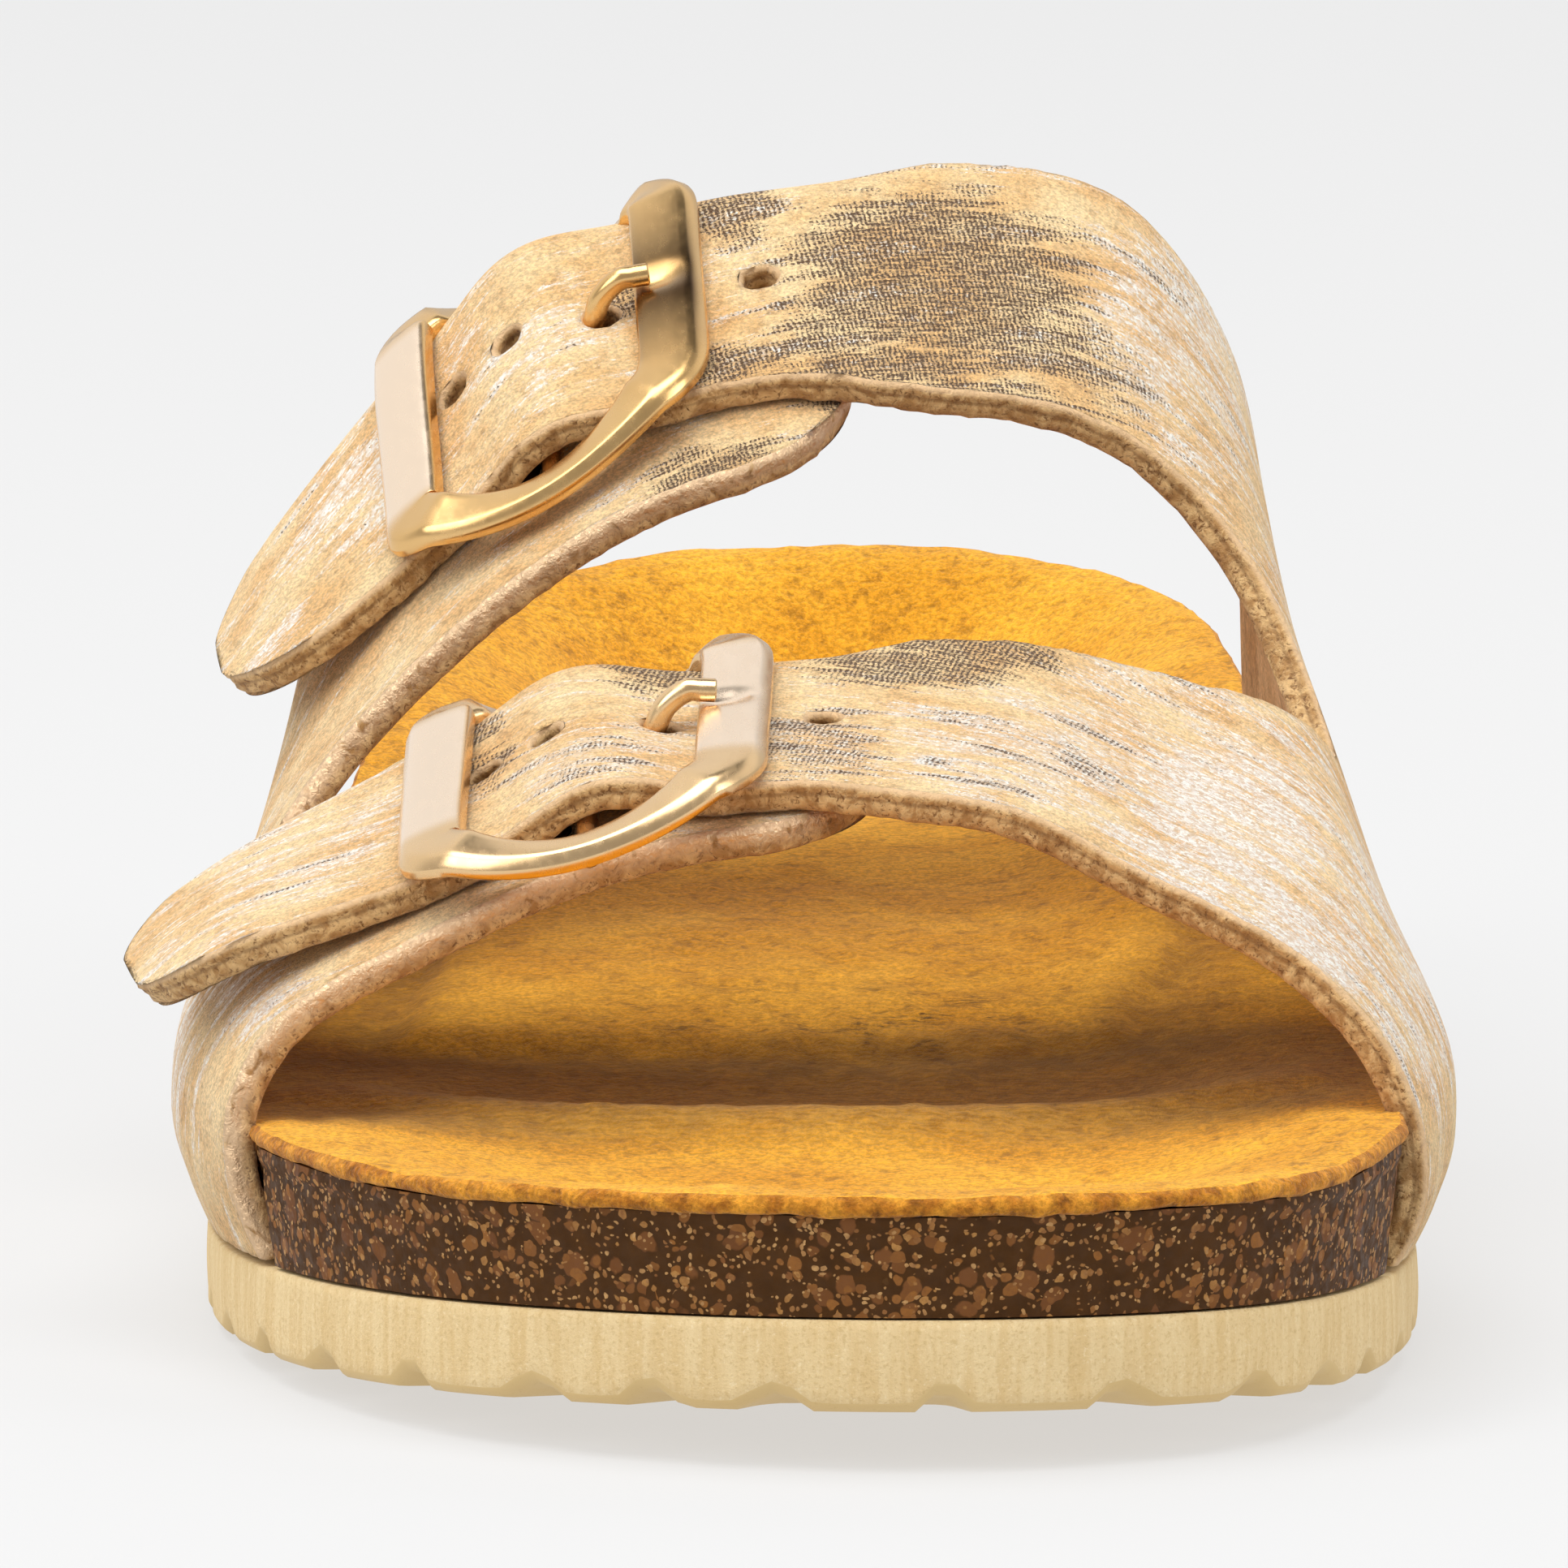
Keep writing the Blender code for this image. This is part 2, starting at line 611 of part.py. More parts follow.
def finish_upper(mesh, name, material, collection):
    """Welds the two straps of a piece below their notch and gives the sheet its thickness."""
    bmesh.ops.remove_doubles(mesh, verts=mesh.verts, dist=2e-6)
    obj = finish_object(mesh, name, material, collection, sharp=45.0)
    wall = obj.modifiers.new("wall", "SOLIDIFY")
    wall.thickness = LEATHER
    wall.offset = -1.0
    wall.use_even_offset = True
    wall.use_quality_normals = True
    return obj


def build_upper_medial(material, collection, tools):
    mesh = bmesh.new()
    for name, rows, edge in (("front", FRONT_STRAP, "rear"), ("rear", REAR_STRAP, "front")):
        centre, y_mid = buckle_place(name)
        length = arch_length(y_mid)
        stop = centre + BUCKLES[name]["tail"] / length
        ways = strap_rows(0.0, MEDIAL_NOTCH, stop, TAIL_ROUND / length)

        def edges(way):
            front, rear = strap_edges(name, rows, way, MEDIAL_NOTCH, edge)
            return rounded(front, rear, (stop - way) * length, TAIL_ROUND)

        add_band(mesh, ways, 6, edges, lambda way, y: strap_lift(name, way, y))
    obj = finish_upper(mesh, "upper_medial", material, collection)
    for name in BUCKLES:
        cut = obj.modifiers.new("hole_" + name, "BOOLEAN")
        cut.operation = "DIFFERENCE"
        cut.solver = "EXACT"
        cut.object = prong_hole_cutter(name, tools)
    return obj


def build_upper_lateral(material, collection):
    mesh = bmesh.new()
    for name, rows, edge in (("front", FRONT_TAB, "rear"), ("rear", REAR_TAB, "front")):
        _, y_mid = buckle_place(name)
        length = arch_length(y_mid)
        stop = TAB_TIP[name]
        ways = strap_rows(1.0, LATERAL_NOTCH, stop, -TAB_ROUND / length)

        def edges(way):
            front, rear = tab_edges(rows, way, LATERAL_NOTCH, edge)
            return rounded(front, rear, (way - stop) * length, TAB_ROUND)

        add_band(mesh, ways, 6, edges, lambda way, y: 0.0)
    bmesh.ops.reverse_faces(mesh, faces=mesh.faces)
    return finish_upper(mesh, "upper_lateral", material, collection)


def buckle_point(name, p, q, lift):
    """Place of a buckle's point: p along the strap to its tail, q towards the heel."""
    centre, y_mid = buckle_place(name)
    y = y_mid + q * math.cos(math.radians(BUCKLES[name]["lean"]))
    return skin_point(centre + p / arch_length(y), y, lift)


def frame_lift(p):
    """Underside of the buckle frame: low at the centre bar, over the strap at the sides."""
    share = min(abs(p) / (0.5 * BAR_SPACING - 0.5 * BAR_WIDTH), 1.0)
    high = LEATHER + 2 * CLEARANCE
    return CLEARANCE + high * share**3


def frame_loop():
    """Middle line of the frame and its width, from one side bar round to the other."""
    half, bar = 0.5 * BAR_SPACING, 0.5 * BAR_LENGTH
    radius = (half**2 + ARM_BOW**2) / (2 * ARM_BOW)
    turn = math.asin(half / radius)
    loop = []
    for side in (1, -1):
        for k in range(5):
            loop.append((side * half, side * bar * (k / 2 - 1), BAR_WIDTH))
        for k in range(1, 12):
            angle = turn * (1 - k / 6)
            wide = ARM_WIDTH + (BAR_WIDTH - ARM_WIDTH) * abs(1 - k / 6) ** 3
            p = side * radius * math.sin(angle)
            q = side * (bar + radius * math.cos(angle) - radius + ARM_BOW)
            loop.append((p, q, wide))
    return loop


def build_buckle(name, material, collection, tools):
    loop = frame_loop()
    count = len(loop)
    mesh = bmesh.new()
    rows = []
    for k, (p, q, wide) in enumerate(loop):
        before, after = loop[k - 1], loop[(k + 1) % count]
        run = Vector((after[0] - before[0], after[1] - before[1], 0.0)).normalized()
        out = Vector((run.y, -run.x, 0.0))
        section = [(-0.5, 0.0), (0.5, 0.0), (0.5, 0.45), (0.22, 1.0), (-0.36, 1.0), (-0.5, 0.8)]
        base = frame_lift(p)
        row = []
        for side, up in section:
            place = Vector((p, q, 0.0)) + out * side * wide
            row.append(mesh.verts.new(buckle_point(name, place.x, place.y,
                                                   base + up * FRAME_THICKNESS)))
        rows.append(row)
    for k in range(count):
        here, there = rows[k], rows[(k + 1) % count]
        for j in range(len(here)):
            i = (j + 1) % len(here)
            mesh.faces.new((here[j], here[i], there[i], there[j]))
    bmesh.ops.recalc_face_normals(mesh, faces=mesh.faces)
    obj = finish_object(mesh, "buckle_" + name, material, collection)
    ends = 0.5 * BAR_LENGTH + ARM_BOW
    route = [buckle_point(name, 0.0, ends * (k / 4 - 1), CLEARANCE + PIN_RADIUS)
             for k in range(9)]
    pin = wire_mesh("pin_" + name, route, PIN_RADIUS, tools)
    pin.hide_render = True
    pin.display_type = "WIRE"
    join = obj.modifiers.new("pin", "BOOLEAN")
    join.operation = "UNION"
    join.solver = "EXACT"
    join.object = pin
    return obj


def wire_mesh(name, route, radius, collection):
    """A round wire along a route, as a mesh with welded caps."""
    curve = bpy.data.curves.new(name, "CURVE")
    curve.dimensions = "3D"
    curve.bevel_depth = radius
    curve.bevel_resolution = 2
    curve.use_fill_caps = True
    spline = curve.splines.new("POLY")
    spline.points.add(len(route) - 1)
    for point, place in zip(spline.points, route):
        point.co = (*place, 1.0)
    shape = bpy.data.objects.new(name + "_curve", curve)
    collection.objects.link(shape)
    bpy.context.view_layer.update()
    shown = shape.evaluated_get(bpy.context.evaluated_depsgraph_get())
    data = bpy.data.meshes.new_from_object(shown)
    bpy.data.objects.remove(shape, do_unlink=True)
    mesh = bmesh.new()
    mesh.from_mesh(data)
    bmesh.ops.remove_doubles(mesh, verts=mesh.verts, dist=1e-6)
    bmesh.ops.recalc_face_normals(mesh, faces=mesh.faces)
    mesh.to_mesh(data)
    mesh.free()
    obj = bpy.data.objects.new(name, data)
    collection.objects.link(obj)
    return obj


def prong_route(name):
    """From beside the centre bar, up through the strap's hole, to lie on the medial side bar."""
    rest = frame_lift(BAR_SPACING) + FRAME_THICKNESS + CLEARANCE + PRONG_RADIUS
    start = PIN_RADIUS + CLEARANCE + PRONG_RADIUS
    side = 0.5 * BAR_SPACING
    points = [(start, CLEARANCE + PIN_RADIUS), (0.30 * side, 0.45 * rest), (0.48 * side, 0.86 * rest),
              (0.66 * side, rest), (side + 0.15 * BAR_WIDTH, rest)]
    curve = round_curve(points, steps=3)
    return [buckle_point(name, -p, 0.0, lift) for p, lift in curve]


def build_prong(name, material, collection):
    obj = wire_mesh("prong_" + name, prong_route(name), PRONG_RADIUS, collection)
    obj.data.materials.clear()
    obj.data.materials.append(material)
    obj.data.shade_smooth()
    obj.data.set_sharp_from_angle(angle=math.radians(40.0))
    return obj


def prong_hole_cutter(name, tools):
    place = -0.17 * BAR_SPACING
    route = [buckle_point(name, place, 0.0, lift) for lift in (-0.4 * CLEARANCE, 3 * LEATHER)]
    cutter = wire_mesh("hole_cutter_" + name, route, PRONG_HOLE_RADIUS, tools)
    cutter.hide_render = True
    cutter.display_type = "WIRE"
    return cutter


def build_rivet(name, material, collection):
    """Small dark rivet on the tab, beside the centre bar and under the strap's front edge."""
    p = PIN_RADIUS + CLEARANCE + RIVET_RADIUS
    q = -0.40 * STRAP_WIDTH
    route = [buckle_point(name, p, q, lift) for lift in (CLEARANCE, CLEARANCE + RIVET_HEIGHT)]
    obj = wire_mesh("clip_" + name, route, RIVET_RADIUS, collection)
    obj.data.materials.clear()
    obj.data.materials.append(material)
    obj.data.shade_smooth()
    obj.data.set_sharp_from_angle(angle=math.radians(40.0))
    return obj


def stand_on_origin(parts, tools):
    """Moves everything so that the origin is under the middle of the sandal's box."""
    bpy.context.view_layer.update()
    graph = bpy.context.evaluated_depsgraph_get()
    points = [vert.co for obj in parts.objects for vert in obj.evaluated_get(graph).data.vertices]
    low = [min(point[k] for point in points) for k in range(3)]
    high = [max(point[k] for point in points) for k in range(3)]
    shift = Vector((-(low[0] + high[0]) / 2, -(low[1] + high[1]) / 2, -low[2]))
    for obj in list(parts.objects) + list(tools.objects):
        obj.location = shift


def build():
    clear_scene()
    parts = make_collection("cork_footbed_sandal")
    tools = make_collection("cutters")
    looks = {name: make_material(name) for name in MATERIALS}
    build_outsole(looks["eva"], parts, tools)
    build_footbed(looks["cork"], parts)
    build_insole(looks["liner"], parts)
    build_upper_medial(looks["leather"], parts, tools)
    build_upper_lateral(looks["leather"], parts)
    for name in BUCKLES:
        build_buckle(name, looks["metal"], parts, tools)
        build_prong(name, looks["metal"], parts)
        build_rivet(name, looks["rivet"], parts)
    stand_on_origin(parts, tools)


build()
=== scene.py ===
import math

import bpy
import numpy as np
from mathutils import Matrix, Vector


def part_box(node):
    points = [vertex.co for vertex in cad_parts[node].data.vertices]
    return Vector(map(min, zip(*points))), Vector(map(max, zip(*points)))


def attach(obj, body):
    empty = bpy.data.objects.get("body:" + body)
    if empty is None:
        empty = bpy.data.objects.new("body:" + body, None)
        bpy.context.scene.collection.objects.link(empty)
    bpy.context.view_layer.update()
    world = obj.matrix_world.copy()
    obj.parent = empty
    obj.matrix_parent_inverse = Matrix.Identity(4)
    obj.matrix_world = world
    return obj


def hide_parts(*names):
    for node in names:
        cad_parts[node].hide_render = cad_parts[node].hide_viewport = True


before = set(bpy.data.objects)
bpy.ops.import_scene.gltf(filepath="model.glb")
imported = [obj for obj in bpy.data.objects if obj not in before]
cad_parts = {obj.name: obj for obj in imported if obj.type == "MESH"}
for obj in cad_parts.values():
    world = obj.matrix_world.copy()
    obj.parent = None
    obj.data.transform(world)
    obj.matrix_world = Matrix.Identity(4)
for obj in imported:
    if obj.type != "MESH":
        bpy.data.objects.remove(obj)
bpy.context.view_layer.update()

# Everything is built toe towards -Y in metres, the way the frame lies, and moved by frameShift
# at the end of each piece so that it sits on the frame's own centre.
mm = 0.001


sole = {
    "length": 0.252, "width": 0.0966, "outsole": 7.2 * mm, "wedge": 4.8 * mm,
    "spring": 4.8 * mm, "side": 8.0 * mm, "cup": 17.2 * mm, "bed": 12.5 * mm,
    "liner": 1.2 * mm, "corkFlare": 1.2 * mm, "strapFlare": 2.2 * mm, "gap": 0.3 * mm,
    "leather": 2.6 * mm, "instep": 83.0 * mm, "recessRun": 2.6 * mm, "hug": 0.9 * mm,
}

# the outline, shares of the sole's width and length, from the toe up the medial side
outlineShares = [
    (0.105, -0.500), (0.275, -0.480), (0.392, -0.437), (0.465, -0.365), (0.497, -0.278),
    (0.497, -0.215), (0.462, -0.119), (0.410, 0.000), (0.384, 0.119), (0.386, 0.238),
    (0.374, 0.337), (0.325, 0.429), (0.200, 0.484), (0.032, 0.500), (-0.150, 0.484),
    (-0.285, 0.432), (-0.352, 0.349), (-0.378, 0.238), (-0.412, 0.119), (-0.460, 0.000),
    (-0.497, -0.119), (-0.503, -0.200), (-0.472, -0.290), (-0.402, -0.372),
    (-0.280, -0.440), (-0.090, -0.487),
]

# heights along the sole, as shares of the values above
soleRows = {
    "along": [-0.500, -0.437, -0.385, -0.337, -0.286, -0.246, -0.190, -0.099, 0.000, 0.119,
              0.238, 0.357, 0.437, 0.500],
    "spring": [1.00, 0.74, 0.54, 0.38, 0.20, 0.09, 0, 0, 0, 0, 0, 0, 0.02, 0.20],
    "wedge": [0, 0, 0, 0, 0, 0, 0, 0.02, 0.20, 0.62, 0.92, 1.00, 1.00, 1.00],
    "rimMedial": [0.01, 0.04, 0.12, 0.19, 0.23, 0.25, 0.28, 0.40, 0.58, 0.69, 0.70, 0.82,
                  0.93, 1.00],
    "rimLateral": [0.01, 0.02, 0.06, 0.10, 0.12, 0.13, 0.14, 0.21, 0.32, 0.46, 0.64, 0.83,
                   0.93, 1.00],
    "bed": [0.62, 0.54, 0.50, 0.55, 0.72, 0.68, 0.80, 1.02, 1.14, 1.10, 1.00, 1.00, 1.25, 1.50],
}

# the form that the straps follow over the foot: half widths at levels between sole and instep
archLevels = [0.0, 0.10, 0.22, 0.40, 0.60, 0.78, 0.90, 0.97]
archRows = {
    "along": [-0.365, -0.317, -0.183, -0.056, 0.095, 0.135],
    "top": [0.470, 0.515, 0.610, 0.778, 1.000, 1.055],
    "medial": [
        [1.00, 1.035, 1.050, 1.03, 0.96, 0.82, 0.62, 0.40],
        [1.00, 1.035, 1.055, 1.04, 0.96, 0.81, 0.61, 0.39],
        [1.00, 1.035, 1.070, 1.06, 0.98, 0.88, 0.68, 0.40],
        [1.00, 1.040, 1.070, 1.06, 1.02, 0.92, 0.75, 0.50],
        [1.00, 1.045, 1.070, 1.06, 1.04, 0.96, 0.80, 0.56],
        [1.00, 1.045, 1.070, 1.06, 1.04, 0.96, 0.80, 0.56],
    ],
    "lateral": [
        [1.00, 1.035, 1.065, 1.06, 0.95, 0.68, 0.44, 0.22],
        [1.00, 1.035, 1.060, 1.05, 0.94, 0.67, 0.44, 0.22],
        [1.00, 1.035, 1.060, 1.03, 0.90, 0.70, 0.48, 0.24],
        [1.00, 1.040, 1.060, 1.01, 0.85, 0.63, 0.41, 0.20],
        [1.00, 1.045, 1.060, 1.05, 0.98, 0.82, 0.57, 0.31],
        [1.00, 1.045, 1.060, 1.05, 0.98, 0.83, 0.58, 0.32],
    ],
}
archPeak = 0.05


def softCurve(places, values, at):
    # a smooth line through the given values, without overshoot, for one place or many
    places, values = np.asarray(places, float), np.asarray(values, float)
    if places[0] > places[-1]:
        places, values = places[::-1], values[::-1]
    at = np.clip(np.asarray(at, float), places[0], places[-1])
    steps = np.diff(values) / np.diff(places)
    slopes = np.concatenate([steps[:1], np.zeros(len(steps) - 1), steps[-1:]])
    for j in range(1, len(steps)):
        if steps[j - 1] * steps[j] > 0:
            slopes[j] = 2 * steps[j - 1] * steps[j] / (steps[j - 1] + steps[j])
    k = np.clip(np.searchsorted(places, at) - 1, 0, len(steps) - 1)
    span = places[k + 1] - places[k]
    t = (at - places[k]) / span
    return ((2 * t**3 - 3 * t**2 + 1) * values[k] + (t**3 - 2 * t**2 + t) * span * slopes[k]
            + (3 * t**2 - 2 * t**3) * values[k + 1] + (t**3 - t**2) * span * slopes[k + 1])


def soleValue(name, y):
    return softCurve(soleRows["along"], soleRows[name], np.asarray(y) / sole["length"])


def ease(t):
    t = np.clip(t, 0.0, 1.0)
    return t * t * (3 - 2 * t)


def roundCurve(points, steps, closed=False):
    points = np.asarray(points, float)
    count = len(points)
    curve = []
    t = (np.arange(steps) / steps)[:, None]
    for k in range(count if closed else count - 1):
        b, c = points[k], points[(k + 1) % count]
        a = points[k - 1] if (k or closed) else 2 * b - c
        d = points[(k + 2) % count] if (k + 2 < count or closed) else 2 * c - b
        curve.append(0.5 * (2 * b + (c - a) * t + (2 * a - 5 * b + 4 * c - d) * t**2
                            + (3 * b - a - 3 * c + d) * t**3))
    curve.append(points[:1] if closed else points[-1:])
    return np.vstack(curve)


def runAlong(curve):
    steps = np.linalg.norm(np.diff(curve, axis=0), axis=1)
    return np.concatenate([[0.0], np.cumsum(steps)])


def evenSteps(curve, count):
    way = runAlong(curve)
    places = np.linspace(0.0, way[-1], count + 1)
    return np.column_stack([np.interp(places, way, curve[:, k]) for k in range(curve.shape[1])])


def ripple(points, size, seed, waves=8):
    # smooth made-up unevenness, about -1 to 1, with bumps of the given size
    draw = np.random.default_rng(seed)
    total = np.zeros(len(points))
    for _ in range(waves):
        way = draw.normal(size=points.shape[1])
        way /= np.linalg.norm(way)
        turn = points @ way * (2 * math.pi / size) * draw.uniform(0.7, 1.5)
        total += np.sin(turn + draw.uniform(0, 2 * math.pi))
    return total / math.sqrt(waves)


halfSteps = 190
outlineCurve = roundCurve(np.array(outlineShares) * (sole["width"], sole["length"]), 24, True)[:-1]
outlineCurve = np.roll(outlineCurve, -int(np.argmin(outlineCurve[:, 1])), axis=0)
heelStep = int(np.argmax(outlineCurve[:, 1]))
medialHalf = evenSteps(outlineCurve[:heelStep + 1], halfSteps)
lateralHalf = evenSteps(np.vstack([outlineCurve[heelStep:], outlineCurve[:1]])[::-1], halfSteps)

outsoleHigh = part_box("outsole")[1]
frameShift = np.array([outsoleHigh.x - outlineCurve[:, 0].max(),
                       outsoleHigh.y - outlineCurve[:, 1].max(), 0.0])
print("frame shift in mm:", np.round(frameShift / mm, 3))


def halfWidth(y, side):
    half = medialHalf if side > 0 else lateralHalf
    return np.abs(np.interp(y, half[:, 1], half[:, 0]))


def ground(y):
    return soleValue("spring", y) * sole["spring"]


def outsoleTop(y):
    return ground(y) + sole["outsole"] + soleValue("wedge", y) * sole["wedge"]


def rimHeight(x, y):
    share = ease(0.5 + x / (0.6 * sole["width"]))
    lateral, medial = soleValue("rimLateral", y), soleValue("rimMedial", y)
    return outsoleTop(y) + sole["side"] + (lateral + share * (medial - lateral)) * sole["cup"]


def bedHeight(y):
    return outsoleTop(y) + soleValue("bed", y) * sole["bed"]


def clearSelection():
    if bpy.context.object and bpy.context.object.mode != "OBJECT":
        bpy.ops.object.mode_set(mode="OBJECT")
    bpy.ops.object.select_all(action="DESELECT")


def pickOnly(piece):
    clearSelection()
    piece.select_set(True)
    bpy.context.view_layer.objects.active = piece


def newGrid(name, across, along):
    # a flat grid that is then laid over a form, row by row
    clearSelection()
    bpy.ops.mesh.primitive_grid_add(x_subdivisions=across, y_subdivisions=along, size=0.1)
    piece = bpy.context.object
    piece.name = piece.data.name = name
    return piece


def placePoints(piece, points):
    piece.data.vertices.foreach_set("co", np.asarray(points, np.float32).reshape(-1))
    piece.data.update()


def pointsOf(piece):
    points = np.empty(len(piece.data.vertices) * 3, np.float32)
    piece.data.vertices.foreach_get("co", points)
    return points.reshape(-1, 3).astype(float)


def normalsOf(piece):
    normals = np.empty(len(piece.data.vertices) * 3, np.float32)
    piece.data.vertex_normals.foreach_get("vector", normals)
    return normals.reshape(-1, 3).astype(float)


def paint(piece, name, values):
    values = np.asarray(values, np.float32)
    kind = "FLOAT_VECTOR" if values.ndim == 2 else "FLOAT"
    layer = piece.data.attributes.get(name) or piece.data.attributes.new(name, kind, "POINT")
    layer.data.foreach_set("vector" if values.ndim == 2 else "value", values.reshape(-1))


def painted(piece, name, size=1):
    layer = piece.data.attributes[name]
    values = np.empty(len(layer.data) * size, np.float32)
    layer.data.foreach_get("vector" if size == 3 else "value", values)
    return values.reshape(-1, 3) if size == 3 else values


def weld(piece, outward=False):
    pickOnly(piece)
    bpy.ops.object.mode_set(mode="EDIT")
    bpy.ops.mesh.select_all(action="SELECT")
    bpy.ops.mesh.remove_doubles(threshold=0.002 * mm)
    bpy.ops.mesh.dissolve_degenerate(threshold=0.001 * mm)
    if outward:
        bpy.ops.mesh.normals_make_consistent(inside=False)
    bpy.ops.object.mode_set(mode="OBJECT")


def useMaterials(piece, materials):
    piece.data.materials.clear()
    for material in materials:
        piece.data.materials.append(material)


def finishPiece(piece, nodes, sharp=None):
    # into the frame's place, shaded, hung under the root, with the CAD nodes that it stands for
    # hidden
    placePoints(piece, pointsOf(piece) + frameShift)
    pickOnly(piece)
    if sharp:
        bpy.ops.object.shade_smooth_by_angle(angle=math.radians(sharp))
    else:
        bpy.ops.object.shade_smooth()
    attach(piece, "root")
    if nodes:
        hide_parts(*nodes)
    print(piece.name, len(piece.data.polygons), "faces")
    return piece


def closedRings(name, rings):
    # a closed skin from rings of points, each ring once round the sole
    rings = [np.vstack([ring, ring[:1]]) for ring in rings]
    piece = newGrid(name, len(rings[0]) - 1, len(rings) - 1)
    placePoints(piece, np.vstack(rings))
    return piece


def newNode(tree, kind, inputs=None, **settings):
    made = tree.nodes.new(kind)
    for key, value in settings.items():
        setattr(made, key, value)
    for key, value in (inputs or {}).items():
        if isinstance(value, bpy.types.NodeSocket):
            tree.links.new(value, made.inputs[key])
        else:
            made.inputs[key].default_value = value
    return made


def mathOf(tree, operation, a, b=0.0, clamp=False):
    return newNode(tree, "ShaderNodeMath", {0: a, 1: b}, operation=operation,
                   use_clamp=clamp).outputs[0]


def spread(tree, value, low, high, toLow=0.0, toHigh=1.0):
    made = newNode(tree, "ShaderNodeMapRange", {0: value, 1: low, 2: high, 3: toLow, 4: toHigh},
                   interpolation_type="SMOOTHSTEP")
    return made.outputs[0]


def mixColour(tree, share, a, b, blend="MIX"):
    made = newNode(tree, "ShaderNodeMix", {0: share, 6: a, 7: b}, data_type="RGBA",
                   blend_type=blend)
    return made.outputs[2]


def rgb(code):
    # a colour as it is seen on screen, made linear for the shader
    values = [int(code[k:k + 2], 16) / 255 for k in (1, 3, 5)]
    return tuple(v / 12.92 if v <= 0.04045 else ((v + 0.055) / 1.055) ** 2.4
                 for v in values) + (1.0,)


def noiseOf(tree, vector, scale, detail=2.0, rough=0.5, distortion=0.0):
    return newNode(tree, "ShaderNodeTexNoise",
                   {"Vector": vector, "Scale": scale, "Detail": detail, "Roughness": rough,
                    "Distortion": distortion}).outputs["Fac"]


def objectPlace(tree):
    return newNode(tree, "ShaderNodeTexCoord").outputs["Object"]


def attributeOf(tree, name, vector=False):
    made = newNode(tree, "ShaderNodeAttribute", attribute_name=name)
    return made.outputs["Vector" if vector else "Fac"]


def scaled(tree, vector, size, turn=0.0, place=(0, 0, 0)):
    return newNode(tree, "ShaderNodeMapping",
                   {"Vector": vector, "Location": place, "Rotation": (0, 0, math.radians(turn)),
                    "Scale": size}).outputs[0]


def newGroup(name, inputs, outputs):
    group = bpy.data.node_groups.new(name, "ShaderNodeTree")
    for label, kind, value in inputs:
        socket = group.interface.new_socket(label, in_out="INPUT", socket_type=kind)
        if value is not None:
            socket.default_value = value
    for label, kind in outputs:
        group.interface.new_socket(label, in_out="OUTPUT", socket_type=kind)
    return group, group.nodes.new("NodeGroupInput"), group.nodes.new("NodeGroupOutput")


def newMaterial(name, **constants):
    material = bpy.data.materials.new(name)
    material.use_nodes = True
    tree = material.node_tree
    shader = tree.nodes["Principled BSDF"]
    for key, value in constants.items():
        shader.inputs[key.replace("_", " ")].default_value = value
    return material, tree, shader


def addBump(tree, shader, height, strength, distance):
    bump = newNode(tree, "ShaderNodeBump",
                   {"Height": height, "Strength": strength, "Distance": distance})
    tree.links.new(bump.outputs[0], shader.inputs["Normal"])


def makeNapGroup():
    # brushed suede: fine fibres, with soft clouds where the nap lies another way
    group, given, out = newGroup(
        "suedeNap",
        [("Vector", "NodeSocketVector", None), ("Light", "NodeSocketColor", (1, 1, 1, 1)),
         ("Middle", "NodeSocketColor", (0.5, 0.5, 0.5, 1)),
         ("Dark", "NodeSocketColor", (0.2, 0.2, 0.2, 1)),
         ("Fibre", "NodeSocketFloat", 4000.0), ("Cloud", "NodeSocketFloat", 120.0),
         ("Wear", "NodeSocketFloat", 0.5)],
        [("Colour", "NodeSocketColor"), ("Height", "NodeSocketFloat")])
    where = given.outputs["Vector"]
    fibre = noiseOf(group, where, given.outputs["Fibre"], 3.0, 0.7)
    tuft = noiseOf(group, where, mathOf(group, "MULTIPLY", given.outputs["Fibre"], 0.30), 4.0, 0.65)
    cloud = noiseOf(group, where, given.outputs["Cloud"], 4.0, 0.6, 0.3)
    base = mixColour(group, spread(group, cloud, 0.34, 0.66), given.outputs["Middle"],
                     given.outputs["Light"])
    wearAndPaintedShade = mathOf(group, "MULTIPLY", spread(group, tuft, 0.50, 0.34),
                  spread(group, cloud, 0.66, 0.36, 0.35, 1.0))
    base = mixColour(group, mathOf(group, "MULTIPLY", wearAndPaintedShade, given.outputs["Wear"]), base,
                     given.outputs["Dark"])
    glow = spread(group, fibre, 0.34, 0.66, 0.72, 1.16)
    tint = newNode(group, "ShaderNodeCombineColor", {0: glow, 1: glow, 2: glow}).outputs[0]
    base = mixColour(group, 1.0, base, tint, "MULTIPLY")
    height = mathOf(group, "ADD", mathOf(group, "MULTIPLY", fibre, 0.7),
                    mathOf(group, "MULTIPLY", tuft, 0.8))
    group.links.new(base, out.inputs["Colour"])
    group.links.new(height, out.inputs["Height"])
    return group


